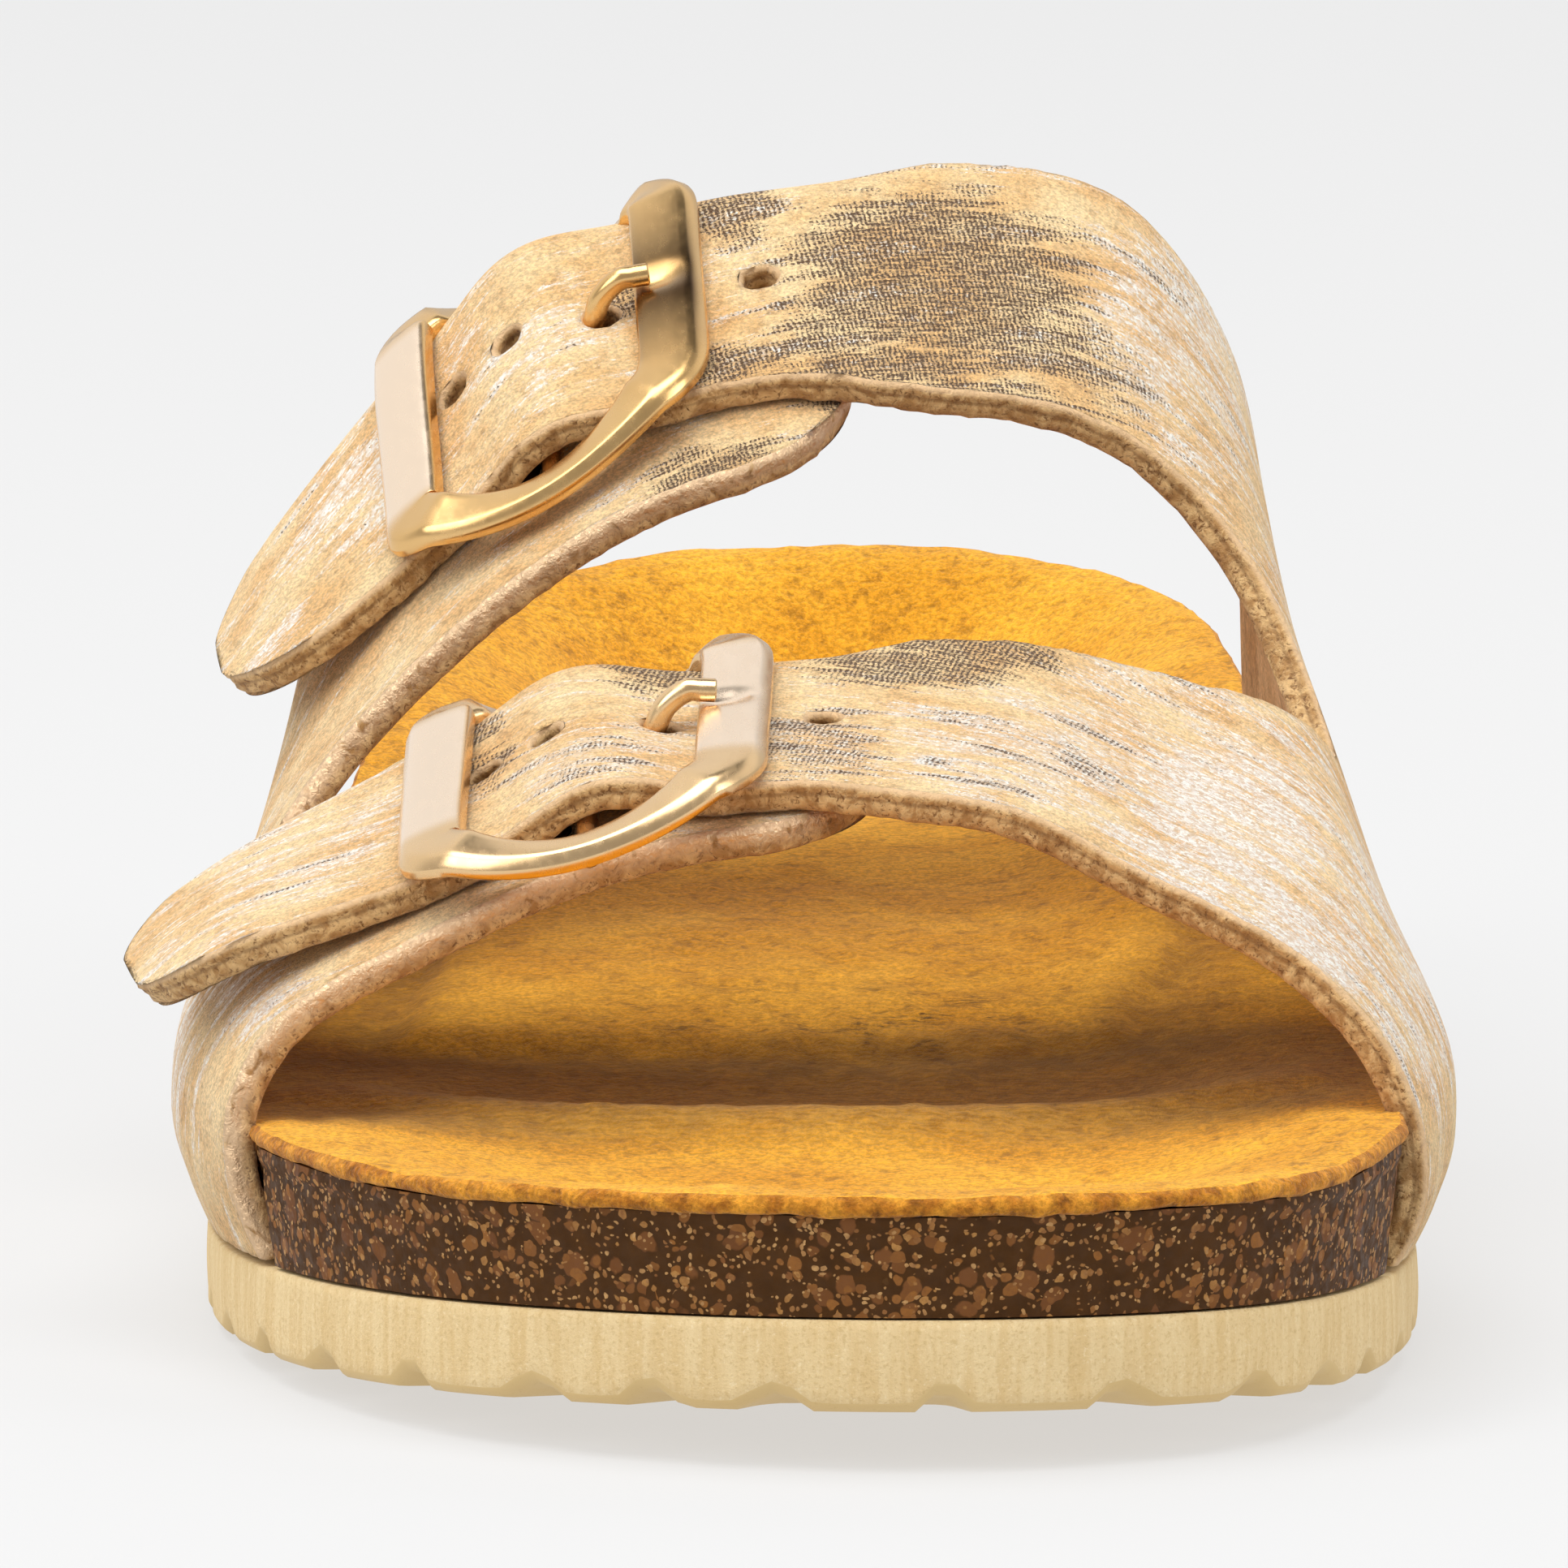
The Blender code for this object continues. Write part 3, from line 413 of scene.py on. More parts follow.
def makeFoilGroup():
    # rubbed metallic foil over a fine woven imprint: peaks shine, valleys show brown specks
    group, given, out = newGroup(
        "rubbedFoil",
        [("Place", "NodeSocketVector", None), ("Foil", "NodeSocketFloat", 0.5),
         ("Woven", "NodeSocketFloat", 0.5), ("Turn", "NodeSocketVector", (0, 0, 0))],
        [("Foil", "NodeSocketFloat"), ("Speck", "NodeSocketFloat"), ("Tone", "NodeSocketFloat"),
         ("Glint", "NodeSocketFloat"), ("Height", "NodeSocketFloat")])
    turned = newNode(group, "ShaderNodeVectorRotate",
                     {"Vector": given.outputs["Place"], "Rotation": given.outputs["Turn"]},
                     rotation_type="EULER_XYZ").outputs[0]
    streak = newNode(group, "ShaderNodeMapping",
                     {"Vector": turned, "Scale": (0.15, 1.0, 1)}).outputs[0]
    broad = noiseOf(group, streak, 0.50, 3.0, 0.6, 0.4)
    fine = noiseOf(group, streak, 3.4, 4.0, 0.7, 0.5)
    grit = noiseOf(group, turned, 4.2, 3.0, 0.75)
    rub = mathOf(group, "ADD", mathOf(group, "MULTIPLY", broad, 0.70),
                 mathOf(group, "MULTIPLY", fine, 0.50))
    rub = mathOf(group, "ADD", rub, mathOf(group, "MULTIPLY", grit, 0.30))
    rub = mathOf(group, "MULTIPLY", mathOf(group, "SUBTRACT", rub, 0.75), 3.2)
    foil = spread(group, mathOf(group, "ADD", rub, given.outputs["Foil"]), 0.44, 0.78)
    wobble = newNode(group, "ShaderNodeTexNoise", {"Vector": turned, "Scale": 0.8, "Detail": 2.0})
    shifted = newNode(group, "ShaderNodeVectorMath",
                      {0: turned, 1: newNode(group, "ShaderNodeVectorMath",
                                             {0: wobble.outputs["Color"], "Scale": 0.7},
                                             operation="SCALE").outputs[0]}).outputs[0]
    split = newNode(group, "ShaderNodeSeparateXYZ", {0: shifted})
    rib = mathOf(group, "SINE", mathOf(group, "MULTIPLY", split.outputs[0], 2 * math.pi / 0.42))
    row = mathOf(group, "SINE", mathOf(group, "MULTIPLY", split.outputs[1], 2 * math.pi / 0.74))
    crossed = mathOf(group, "ADD", mathOf(group, "MULTIPLY", rib, 0.30),
                     mathOf(group, "MULTIPLY", row, 0.08))
    crossed = mathOf(group, "ADD", crossed, mathOf(group, "MULTIPLY",
                                                   mathOf(group, "SUBTRACT", grit, 0.5), 3.8))
    crossed = mathOf(group, "ADD", crossed, mathOf(group, "MULTIPLY",
                                                   mathOf(group, "SUBTRACT", fine, 0.5), 2.8))
    lines = mathOf(group, "MULTIPLY", mathOf(group, "SUBTRACT", broad, 0.5), 2.6)
    dense = spread(group, mathOf(group, "ADD", given.outputs["Woven"], lines), 0.28, 0.85)
    speck = spread(group, mathOf(group, "ADD", crossed, mathOf(group, "MULTIPLY", dense, 0.75)),
                   0.55, 0.95)
    speck = mathOf(group, "MULTIPLY", speck, spread(group, dense, 0.0, 0.25))
    # painted highlights: random cells of the foil are picked as glints, which the material paints
    # near white
    cell = newNode(group, "ShaderNodeTexVoronoi", {"Vector": turned, "Scale": 3.4})
    pick = newNode(group, "ShaderNodeSeparateColor", {0: cell.outputs["Color"]}).outputs[0]
    glint = mathOf(group, "MULTIPLY", spread(group, pick, 0.70, 0.84), foil)
    glint = mathOf(group, "MULTIPLY", glint, mathOf(group, "SUBTRACT", 1.0, speck))
    tone = noiseOf(group, turned, 1.6, 3.0, 0.7)
    height = mathOf(group, "SUBTRACT", mathOf(group, "MULTIPLY", grit, 0.8),
                    mathOf(group, "MULTIPLY", speck, 0.9))
    for label, socket in (("Foil", foil), ("Speck", speck), ("Tone", tone), ("Glint", glint),
                          ("Height", height)):
        group.links.new(socket, out.inputs[label])
    return group


napGroup = makeNapGroup()
foilGroup = makeFoilGroup()


suedeLook = {
    "light": "#F6D6A0", "middle": "#E8B877", "dark": "#AE7F48", "fibre": 2900.0, "cloud": 120.0,
    "wear": 0.55, "foilPale": "#FBF6F2", "foilGold": "#E9C793", "foilRibbed": "#E0B36E",
    "foilRose": "#D8BFAA",
    "speck": "#5E3F1B",
}


def setSockets(group, values):
    for label, value in values.items():
        group.inputs[label].default_value = value


def strapFaceMaterial(name, foilTurn, paleness):
    material, tree, shader = newMaterial(name, Sheen_Weight=0.20, Sheen_Roughness=0.5,
                                         Specular_IOR_Level=0.25)
    where = objectPlace(tree)
    look = suedeLook
    nap = newNode(tree, "ShaderNodeGroup", node_tree=napGroup)
    setSockets(nap, {"Light": rgb(look["light"]), "Middle": rgb(look["middle"]),
                     "Dark": rgb(look["dark"]), "Fibre": look["fibre"], "Cloud": look["cloud"],
                     "Wear": look["wear"]})
    tree.links.new(where, nap.inputs["Vector"])
    foil = newNode(tree, "ShaderNodeGroup", node_tree=foilGroup)
    tree.links.new(attributeOf(tree, "strapPlace", True), foil.inputs["Place"])
    tree.links.new(attributeOf(tree, "foil"), foil.inputs["Foil"])
    tree.links.new(attributeOf(tree, "woven"), foil.inputs["Woven"])
    foil.inputs["Turn"].default_value = (0, 0, math.radians(foilTurn))
    metal = mixColour(tree, spread(tree, foil.outputs["Tone"], 0.40, 0.60),
                      mixColour(tree, paleness, rgb(look["foilGold"]), rgb(look["foilRose"])),
                      rgb(look["foilPale"]))
    ribbed = mathOf(tree, "MULTIPLY", attributeOf(tree, "woven"), 0.75, True)
    metal = mixColour(tree, ribbed, metal, rgb(look["foilRibbed"]))
    colour = mixColour(tree, mathOf(tree, "MULTIPLY", foil.outputs["Foil"], 0.9),
                       nap.outputs["Colour"], metal)
    colour = mixColour(tree, foil.outputs["Speck"], colour, rgb(look["speck"]))
    # painted highlights: the glints are painted near white into the base colour
    colour = mixColour(tree, foil.outputs["Glint"], colour, rgb("#FFFBF2"))
    tree.links.new(colour, shader.inputs["Base Color"])
    bare = mathOf(tree, "SUBTRACT", 1.0, foil.outputs["Speck"])
    shine = mathOf(tree, "MULTIPLY", foil.outputs["Foil"], bare)
    tree.links.new(mathOf(tree, "MULTIPLY", shine, 0.55), shader.inputs["Metallic"])
    tree.links.new(spread(tree, shine, 0.0, 1.0, 0.92, 0.38), shader.inputs["Roughness"])
    height = mathOf(tree, "ADD", mathOf(tree, "MULTIPLY", nap.outputs["Height"], 0.6),
                    mathOf(tree, "MULTIPLY", foil.outputs["Height"], 0.8))
    addBump(tree, shader, height, 1.0, 0.45 * mm)
    return material


def strapEdgeMaterial(name, foilShare, foilDeep):
    # cut leather seen end on: two glued layers of brown fibres
    material, tree, shader = newMaterial(name, Specular_IOR_Level=0.2, Sheen_Weight=0.15)
    where = objectPlace(tree)
    depth = attributeOf(tree, "depth")
    fibre = noiseOf(tree, where, 2100.0, 4.0, 0.7, 0.6)
    tuft = noiseOf(tree, where, 620.0, 3.0, 0.6, 0.8)
    seam = mathOf(tree, "ABSOLUTE", mathOf(tree, "SUBTRACT", depth, 0.40))
    layer = spread(tree, mathOf(tree, "ADD", seam, mathOf(tree, "MULTIPLY",
                                                          mathOf(tree, "SUBTRACT", tuft, 0.5),
                                                          0.16)), 0.0, 0.11)
    colour = mixColour(tree, spread(tree, tuft, 0.35, 0.65), rgb("#AE8350"), rgb("#DDB882"))
    colour = mixColour(tree, spread(tree, fibre, 0.50, 0.32), colour, rgb("#7A5430"))
    colour = mixColour(tree, spread(tree, layer, 0.0, 1.0, 0.62, 1.0), rgb("#7A5838"), colour)
    top = mathOf(tree, "MULTIPLY", spread(tree, depth, foilDeep, 0.3 * foilDeep), foilShare)
    top = mathOf(tree, "MULTIPLY", top, spread(tree, tuft, 0.28, 0.44))
    colour = mixColour(tree, spread(tree, depth, 0.22, 0.0, 0.0, 0.75), colour, rgb("#E3C396"))
    colour = mixColour(tree, top, colour, rgb("#DFBE98"))
    tree.links.new(colour, shader.inputs["Base Color"])
    tree.links.new(mathOf(tree, "MULTIPLY", top, 0.8), shader.inputs["Metallic"])
    tree.links.new(spread(tree, top, 0.0, 1.0, 0.95, 0.38), shader.inputs["Roughness"])
    addBump(tree, shader, mathOf(tree, "ADD", fibre, tuft), 0.9, 0.30 * mm)
    return material


def napMaterial(name, light, middle, dark, fibre, cloud, bump):
    material, tree, shader = newMaterial(name, Roughness=0.95, Sheen_Weight=0.12,
                                         Sheen_Roughness=0.5, Specular_IOR_Level=0.15)
    nap = newNode(tree, "ShaderNodeGroup", node_tree=napGroup)
    for label, value in (("Light", rgb(light)), ("Middle", rgb(middle)), ("Dark", rgb(dark)),
                         ("Fibre", fibre), ("Cloud", cloud)):
        nap.inputs[label].default_value = value
    nap.inputs["Wear"].default_value = 0.60
    tree.links.new(objectPlace(tree), nap.inputs["Vector"])
    tree.links.new(nap.outputs["Colour"], shader.inputs["Base Color"])
    addBump(tree, shader, nap.outputs["Height"], bump, 0.40 * mm)
    return material, tree, shader, nap


def insoleMaterial():
    material, tree, shader, nap = napMaterial("ochreSuede", "#EBAA2F", "#D8951E", "#8C5C18",
                                              2000.0, 60.0, 1.0)
    where = objectPlace(tree)
    blot = noiseOf(tree, where, 260.0, 4.0, 0.65, 0.7)
    hair = noiseOf(tree, scaled(tree, where, (0.45, 1.6, 1.0), 8.0), 1500.0, 3.0, 0.6)
    # painted shade: the ball area under the front strap is mixed towards grey, partly a painted
    # shadow of the strap and partly greyer suede
    shade = attributeOf(tree, "shade")
    soil = attributeOf(tree, "soil")
    grey = mixColour(tree, spread(tree, hair, 0.35, 0.62), rgb("#8A6429"), rgb("#C0954A"))
    wearAndPaintedShade = mathOf(tree, "MULTIPLY", shade, spread(tree, blot, 0.25, 0.55, 0.6, 1.0))
    colour = mixColour(tree, wearAndPaintedShade, nap.outputs["Colour"], grey)
    spot = mathOf(tree, "MULTIPLY", soil, spread(tree, blot, 0.50, 0.66))
    spot = mathOf(tree, "MULTIPLY", spot, spread(tree, hair, 0.42, 0.60))
    colour = mixColour(tree, spot, colour, rgb("#5C3F17"))
    # painted shade: darker in the creases round the cushion pad, plus a painted shadow of the front
    # strap over the pad's front
    creaseAndStrapShade = mathOf(tree, "MULTIPLY", attributeOf(tree, "creaseAndStrapShade"),
                  spread(tree, blot, 0.25, 0.6, 0.55, 1.0))
    colour = mixColour(tree, creaseAndStrapShade, colour, rgb("#6E4715"))
    tree.links.new(colour, shader.inputs["Base Color"])
    return material


def corkMaterial():
    material, tree, shader = newMaterial("pressedCork", Coat_Roughness=0.35,
                                         Specular_IOR_Level=0.12)
    where = objectPlace(tree)
    warp = newNode(tree, "ShaderNodeTexNoise", {"Vector": where, "Scale": 420.0, "Detail": 3.0})
    bent = newNode(tree, "ShaderNodeVectorMath",
                   {0: where, 1: newNode(tree, "ShaderNodeVectorMath",
                                         {0: warp.outputs["Color"], "Scale": 1.5 * mm},
                                         operation="SCALE").outputs[0]}).outputs[0]
    colour = mixColour(tree, noiseOf(tree, where, 500.0, 4.0, 0.6), rgb("#331E0A"), rgb("#553411"))
    raised = None
    for size, share, tones in ((460.0, 0.44, ("#7E4F24", "#5A3414")),
                               (820.0, 0.44, ("#A46C30", "#6B411A")),
                               (1350.0, 0.34, ("#D09B56", "#85542A")),
                               (2300.0, 0.30, ("#E0B274", "#936132"))):
        cell = newNode(tree, "ShaderNodeTexVoronoi", {"Vector": bent, "Scale": size,
                                                      "Randomness": 1.0})
        split = newNode(tree, "ShaderNodeSeparateColor", {0: cell.outputs["Color"]})
        pick = spread(tree, split.outputs[0], 1.0 - share, 1.0 - share + 0.02)
        size = mathOf(tree, "MULTIPLY", split.outputs[1], 0.32)
        body = spread(tree, mathOf(tree, "SUBTRACT", cell.outputs["Distance"], size), 0.27, 0.19)
        chip = mathOf(tree, "MULTIPLY", pick, body)
        tint = mixColour(tree, split.outputs[2], rgb(tones[0]), rgb(tones[1]))
        tint = mixColour(tree, noiseOf(tree, where, 2200.0, 3.0, 0.7), rgb("#6E4527"), tint)
        colour = mixColour(tree, chip, colour, tint)
        raised = chip if raised is None else mathOf(tree, "MAXIMUM", raised, chip)
    tree.links.new(colour, shader.inputs["Base Color"])
    rough = noiseOf(tree, where, 900.0, 3.0, 0.6)
    tree.links.new(spread(tree, rough, 0.3, 0.7, 0.48, 0.72), shader.inputs["Roughness"])
    tree.links.new(spread(tree, rough, 0.35, 0.6, 0.05, 0.01), shader.inputs["Coat Weight"])
    height = mathOf(tree, "ADD", mathOf(tree, "MULTIPLY", raised, 0.5), rough)
    addBump(tree, shader, height, 0.35, 0.25 * mm)
    return material


def evaMaterial(name, smooth):
    material, tree, shader = newMaterial(name, Specular_IOR_Level=0.35)
    where = objectPlace(tree)
    grit = noiseOf(tree, where, 2600.0, 3.0, 0.7)
    drag = noiseOf(tree, scaled(tree, where, (1.0, 1.0, 0.10)), 900.0, 3.0, 0.6)
    cloud = noiseOf(tree, where, 60.0, 2.0)
    if smooth:
        colour = mixColour(tree, cloud, rgb("#D0B076"), rgb("#DBBF88"))
        colour = mixColour(tree, mathOf(tree, "MULTIPLY", spread(tree, grit, 0.60, 0.72), 0.25),
                           colour, rgb("#B2945C"))
        shader.inputs["Roughness"].default_value = 0.55
        addBump(tree, shader, grit, 0.15, 0.1 * mm)
    else:
        colour = mixColour(tree, spread(tree, drag, 0.3, 0.7), rgb("#D9BB86"), rgb("#E3CA9A"))
        colour = mixColour(tree, mathOf(tree, "MULTIPLY", spread(tree, grit, 0.52, 0.68), 0.50),
                           colour, rgb("#C4A36C"))
        colour = mixColour(tree, mathOf(tree, "MULTIPLY", spread(tree, grit, 0.42, 0.30), 0.4),
                           colour, rgb("#F4E2BC"))
        shader.inputs["Roughness"].default_value = 0.85
        height = mathOf(tree, "ADD", grit, mathOf(tree, "MULTIPLY", drag, 0.8))
        addBump(tree, shader, height, 0.6, 0.22 * mm)
    tree.links.new(colour, shader.inputs["Base Color"])
    return material


def metalMaterial(name, colour, warm, roughness):
    material, tree, shader = newMaterial(name, Metallic=1.0)
    where = objectPlace(tree)
    cloud = noiseOf(tree, where, 160.0, 2.0)
    haze = noiseOf(tree, scaled(tree, where, (1.0, 0.3, 1.0)), 900.0, 3.0, 0.6)
    plated = mixColour(tree, cloud, rgb(colour), rgb(warm))
    # painted reflections: the first mix paints a pale reflection of the bright light above onto the
    # bars' flat tops, the second a dark bronze reflection of the darker gap
    plated = mixColour(tree, attributeOf(tree, "paintedBrightReflection"), plated, rgb("#FFE8CE"))
    plated = mixColour(tree, attributeOf(tree, "paintedDarkReflection"), plated, rgb("#54391B"))
    tree.links.new(plated, shader.inputs["Base Color"])
    tree.links.new(spread(tree, haze, 0.3, 0.7, roughness * 0.85, roughness * 1.2),
                   shader.inputs["Roughness"])
    return material


strapFaceFront = strapFaceMaterial("foilSuedeFront", -14.0, 0.65)
strapFaceRear = strapFaceMaterial("foilSuedeRear", 9.0, 0.25)
strapEdge = strapEdgeMaterial("cutEdge", 0.40, 0.18)
tabEdge = strapEdgeMaterial("rolledEdge", 1.0, 0.80)
strapInside, _, _, _ = napMaterial("strapLining", "#DDB98A", "#C79D6B", "#8F6A42", 1900.0, 140.0,
                                   0.6)
insoleSuede = insoleMaterial()
insoleEdge, _, _, _ = napMaterial("insoleEdge", "#DC962F", "#A9671B", "#5C340E", 2100.0, 420.0,
                                  1.0)
cork = corkMaterial()
evaWall = evaMaterial("cutFoam", False)
evaBevel = evaMaterial("mouldedFoam", True)
goldRear = metalMaterial("paleGold", "#F0C98C", "#DFB273", 0.24)
goldFront = metalMaterial("roseGold", "#F4D3A2", "#E4BD8A", 0.25)
rivetMetal = metalMaterial("darkRivet", "#3A2A20", "#241812", 0.35)
print("materials ready")


def outlineLoop():
    return np.vstack([medialHalf, lateralHalf[-2:0:-1]])


def loopNormals():
    # pointing out of the sole, one for each point of the loop
    loop = outlineLoop()
    ahead = np.roll(loop, -1, axis=0) - np.roll(loop, 1, axis=0)
    normal = np.column_stack([ahead[:, 1], -ahead[:, 0]])
    return normal / np.linalg.norm(normal, axis=1)[:, None]


def ringAt(inset, share=0.0):
    # the outline moved in by inset, then drawn towards the sole's spine by share
    loop = outlineLoop() - loopNormals() * np.asarray(inset)[:, None]
    medial = loop[:halfSteps + 1]
    lateral = np.vstack([loop[:1], loop[:halfSteps - 1:-1]])
    spine = (medial + lateral) / 2
    reach = 0.10 * sole["length"]
    y = np.clip(spine[:, 1], spine[0, 1] + reach, spine[-1, 1] - reach)
    x = np.interp(y, spine[:, 1], spine[:, 0])
    spine = np.column_stack([x, y])
    middle = np.vstack([spine, spine[-2:0:-1]])
    return loop + (middle - loop) * share


def strapRecess(y, side):
    front = np.where(side > 0, -0.345, -0.325) * sole["length"]
    rear = np.where(side > 0, 0.112, 0.105) * sole["length"]
    run = sole["recessRun"]
    return np.minimum(ease((y - front + run) / run), ease((rear + run - y) / run))


loopPlan = outlineLoop()
loopSide = np.where(np.arange(len(loopPlan)) <= halfSteps, 1, -1)
loopSide[0] = 1
loopRun = runAlong(np.vstack([loopPlan, loopPlan[:1]]))
corkInsetBase = sole["gap"] + strapRecess(loopPlan[:, 1], loopSide) * sole["leather"]
corkInsetTop = corkInsetBase - (sole["corkFlare"] + (sole["strapFlare"] - sole["corkFlare"])
                                * strapRecess(loopPlan[:, 1], loopSide))
# the top of the cork's side hugs the straps
corkInsetTop = corkInsetTop - sole["hug"] * strapRecess(loopPlan[:, 1], loopSide)

outsoleLook = {
    "bevel": 0.80 * mm, "bandLow": 0.75 * mm, "bandHigh": 0.45 * mm, "notchDepth": 1.40 * mm,
    "notchWidth": 4.4 * mm, "notchReach": 8.0 * mm, "pitch": 13.5 * mm, "grooveDepth": 1.2 * mm,
    "grooveWidth": 3.0 * mm, "grooveLength": 40.0 * mm, "rings": 30,
}
# notches along the toe, run from the toe tip in mm; the rest follow at an even pitch
toeNotches = [-72.7, -58.8, -45.2, -31.8, -21.1, -11.0, 2.2, 16.7, 29.6, 40.0, 49.8]


def notchRuns():
    total = loopRun[-1] / mm
    first, last = toeNotches[-1], toeNotches[0] + total
    count = round((last - first) / (outsoleLook["pitch"] / mm))
    rest = [first + (last - first) * k / count for k in range(1, count)]
    return np.array([run % total for run in toeNotches + rest]) * mm


def notchShare(run, width, power):
    total = loopRun[-1]
    away = np.abs((run[:, None] - notchRuns()[None, :] + total / 2) % total - total / 2)
    return np.clip(1.0 - (away.min(axis=1) / width) ** power, 0.0, 1.0)


def makeOutsole():
    look = outsoleLook
    run = loopRun[:-1]
    notch = notchShare(run, 0.5 * look["notchWidth"], 3.0)
    wide = notchShare(run, 0.95 * look["notchWidth"], 2.0)
    flat = np.zeros(len(run))
    top = outsoleTop(loopPlan[:, 1])
    low = ground(loopPlan[:, 1])
    cut = low + notch * look["notchDepth"]
    band = cut + look["bandLow"] + wide * look["bandHigh"] * 0.55
    rings = []

    def addRing(inset, share, height):
        ring = ringAt(inset, share)
        z = height(ring[:, 0], ring[:, 1]) if callable(height) else height
        rings.append(np.column_stack([ring, z]))

    for share in (1.0, 0.6, 0.3, 0.1):
        addRing(flat, share, lambda x, y: outsoleTop(y))
    addRing(flat + 0.25 * mm, 0.0, top)
    wallRows = 9
    for k in range(wallRows):
        t = k / (wallRows - 1)
        bulge = -0.10 * mm * np.sin(math.pi * t)
        addRing(flat + bulge, 0.0, (top - 0.2 * mm) * (1 - t) + band * t)
    wallEnd = len(rings)
    for inset, drop in ((0.10, 0.25), (0.35, 0.65), (0.75, 1.0)):
        addRing(flat + inset * look["bevel"] / 0.75, 0.0, band + (cut - band) * drop)
    tread = np.linspace(0.0, 1.0, look["rings"]) ** 1.15
    grooves = int(0.72 * sole["length"] / look["pitch"])
    for share in tread[1:]:
        ring = ringAt(flat + look["bevel"], share)
        away = np.linalg.norm(ring - loopPlan, axis=1)
        fade = ease(1.0 - away / look["notchReach"])
        z = ground(ring[:, 1]) + notch * look["notchDepth"] * fade
        middle = (halfWidth(ring[:, 1], 1) - halfWidth(ring[:, 1], -1)) / 2
        nearest = (np.round(ring[:, 1] / look["pitch"] - (grooves - 1) / 2 % 1)
                   + (grooves - 1) / 2 % 1) * look["pitch"]
        gap = np.abs(ring[:, 1] - nearest) / (0.5 * look["grooveWidth"])
        inside = ease((0.5 * look["grooveLength"] - np.abs(ring[:, 0] - middle)) / (2 * mm))
        inside *= np.abs(nearest) < (grooves / 2) * look["pitch"]
        z += look["grooveDepth"] * inside * np.clip(1.6 * (1 - gap), 0, 1)
        rings.append(np.column_stack([ring, z]))
    piece = closedRings("outsoleFoam", rings)
    useMaterials(piece, [evaWall, evaBevel])
    around = len(loopPlan)
    material = np.zeros(len(piece.data.polygons), np.int32)
    material[(wallEnd - 1) * around:] = 1
    piece.data.polygons.foreach_set("material_index", material)
    weld(piece, outward=True)
    points = pointsOf(piece)
    wall = (points[:, 2] > ground(points[:, 1]) + 1.2 * mm)
    push = normalsOf(piece) * (ripple(points, 9 * mm, 5) * 0.07 * mm * wall)[:, None]
    placePoints(piece, points + push * (1, 1, 0))
    return finishPiece(piece, ["outsole"])


bedLook = {"toeBar": 1.5 * mm, "toeWell": 0.9 * mm, "pad": 0.9 * mm, "crease": 0.55 * mm}


def padInside(x, y):
    # how far a place lies inside the cushion pad's outline, in mm
    left = np.interp(y, [-0.042, 0.028, 0.08], [-0.0350, -0.0270, -0.0240])
    right = np.interp(y, [-0.030, -0.0145, 0.039, 0.08], [0.0270, 0.0315, 0.0310, 0.0260])
    front = -0.038 - 0.004 * np.cos(x / 0.03)
    return np.minimum(np.minimum(x - left, right - x) / mm, (y - front) / mm)


def bedForm(x, y, share):
    # what the foot and the mould pressed into the bed: toe bar, cushion pad and its creases
    inner = ease(share / 0.30)
    bar = -0.0735 + np.where(x < 0, 0.0085, 0.0070) * (x / 0.038) ** 2
    away = (y - bar) / mm
    bump = np.where(away < 0, np.exp(-(away / 3.4) ** 2), np.exp(-(away / 9.0) ** 2))
    form = bedLook["toeBar"] * bump * inner
    form -= bedLook["toeWell"] * np.exp(-((y + 0.098) / (11 * mm)) ** 2) * ease(share / 0.5)
    inside = padInside(x, y)
    raised = ease(inside / 5.0 + 0.5)
    crease = np.exp(-(inside / 1.7) ** 2)
    fade = ease((0.075 - y) / 0.05)
    form += (bedLook["pad"] * raised - bedLook["crease"] * crease) * inner * fade
    return form


# edge: how far down the liner's edge each ring lies, and how far it stands out in mm
insoleLook = {"rings": 46, "closer": 1.35, "lift": 0.06 * mm,
              "edge": ((0.85, 0.30), (0.55, 0.45), (0.25, 0.30), (0.02, -0.05))}


def bedRing(share, lift):
    ring = ringAt(corkInsetTop, share)
    rim = rimHeight(ringAt(corkInsetTop)[:, 0], ringAt(corkInsetTop)[:, 1])
    fall = ease((share - 0.02) / 0.62)
    z = rim + (bedHeight(ring[:, 1]) - rim) * fall + lift
    return np.column_stack([ring, z + bedForm(ring[:, 0], ring[:, 1], share)])


def makeFootbed():
    rings = [np.column_stack([ringAt(corkInsetBase, share),
                              outsoleTop(ringAt(corkInsetBase, share)[:, 1]) + sole["gap"]])
             for share in (1.0, 0.4, 0.05)]
    base = rings[-1].copy()
    base[:, :2] = ringAt(corkInsetBase)
    rim = bedRing(0.0, 0.0)
    rows = 12
    for k in range(rows):
        t = k / (rows - 1)
        ring = base * (1 - t) + rim * t
        lip = 0.28 * mm * math.exp(-((t - 0.93) / 0.05) ** 2) - 0.10 * mm * math.exp(
            -((t - 0.84) / 0.035) ** 2)
        ring[:, :2] += loopNormals() * lip
        rings.append(ring)
    for share in (0.03, 0.1, 0.2, 0.35, 0.6, 1.0):
        rings.append(bedRing(share, -0.1 * mm))
    piece = closedRings("corkFootbed", rings)
    useMaterials(piece, [cork])
    weld(piece, outward=True)
    points = pointsOf(piece)
    push = normalsOf(piece) * (ripple(points, 4 * mm, 11) * 0.06 * mm)[:, None]
    placePoints(piece, points + push * (1, 1, 0))
    return finishPiece(piece, ["footbed"], 50)


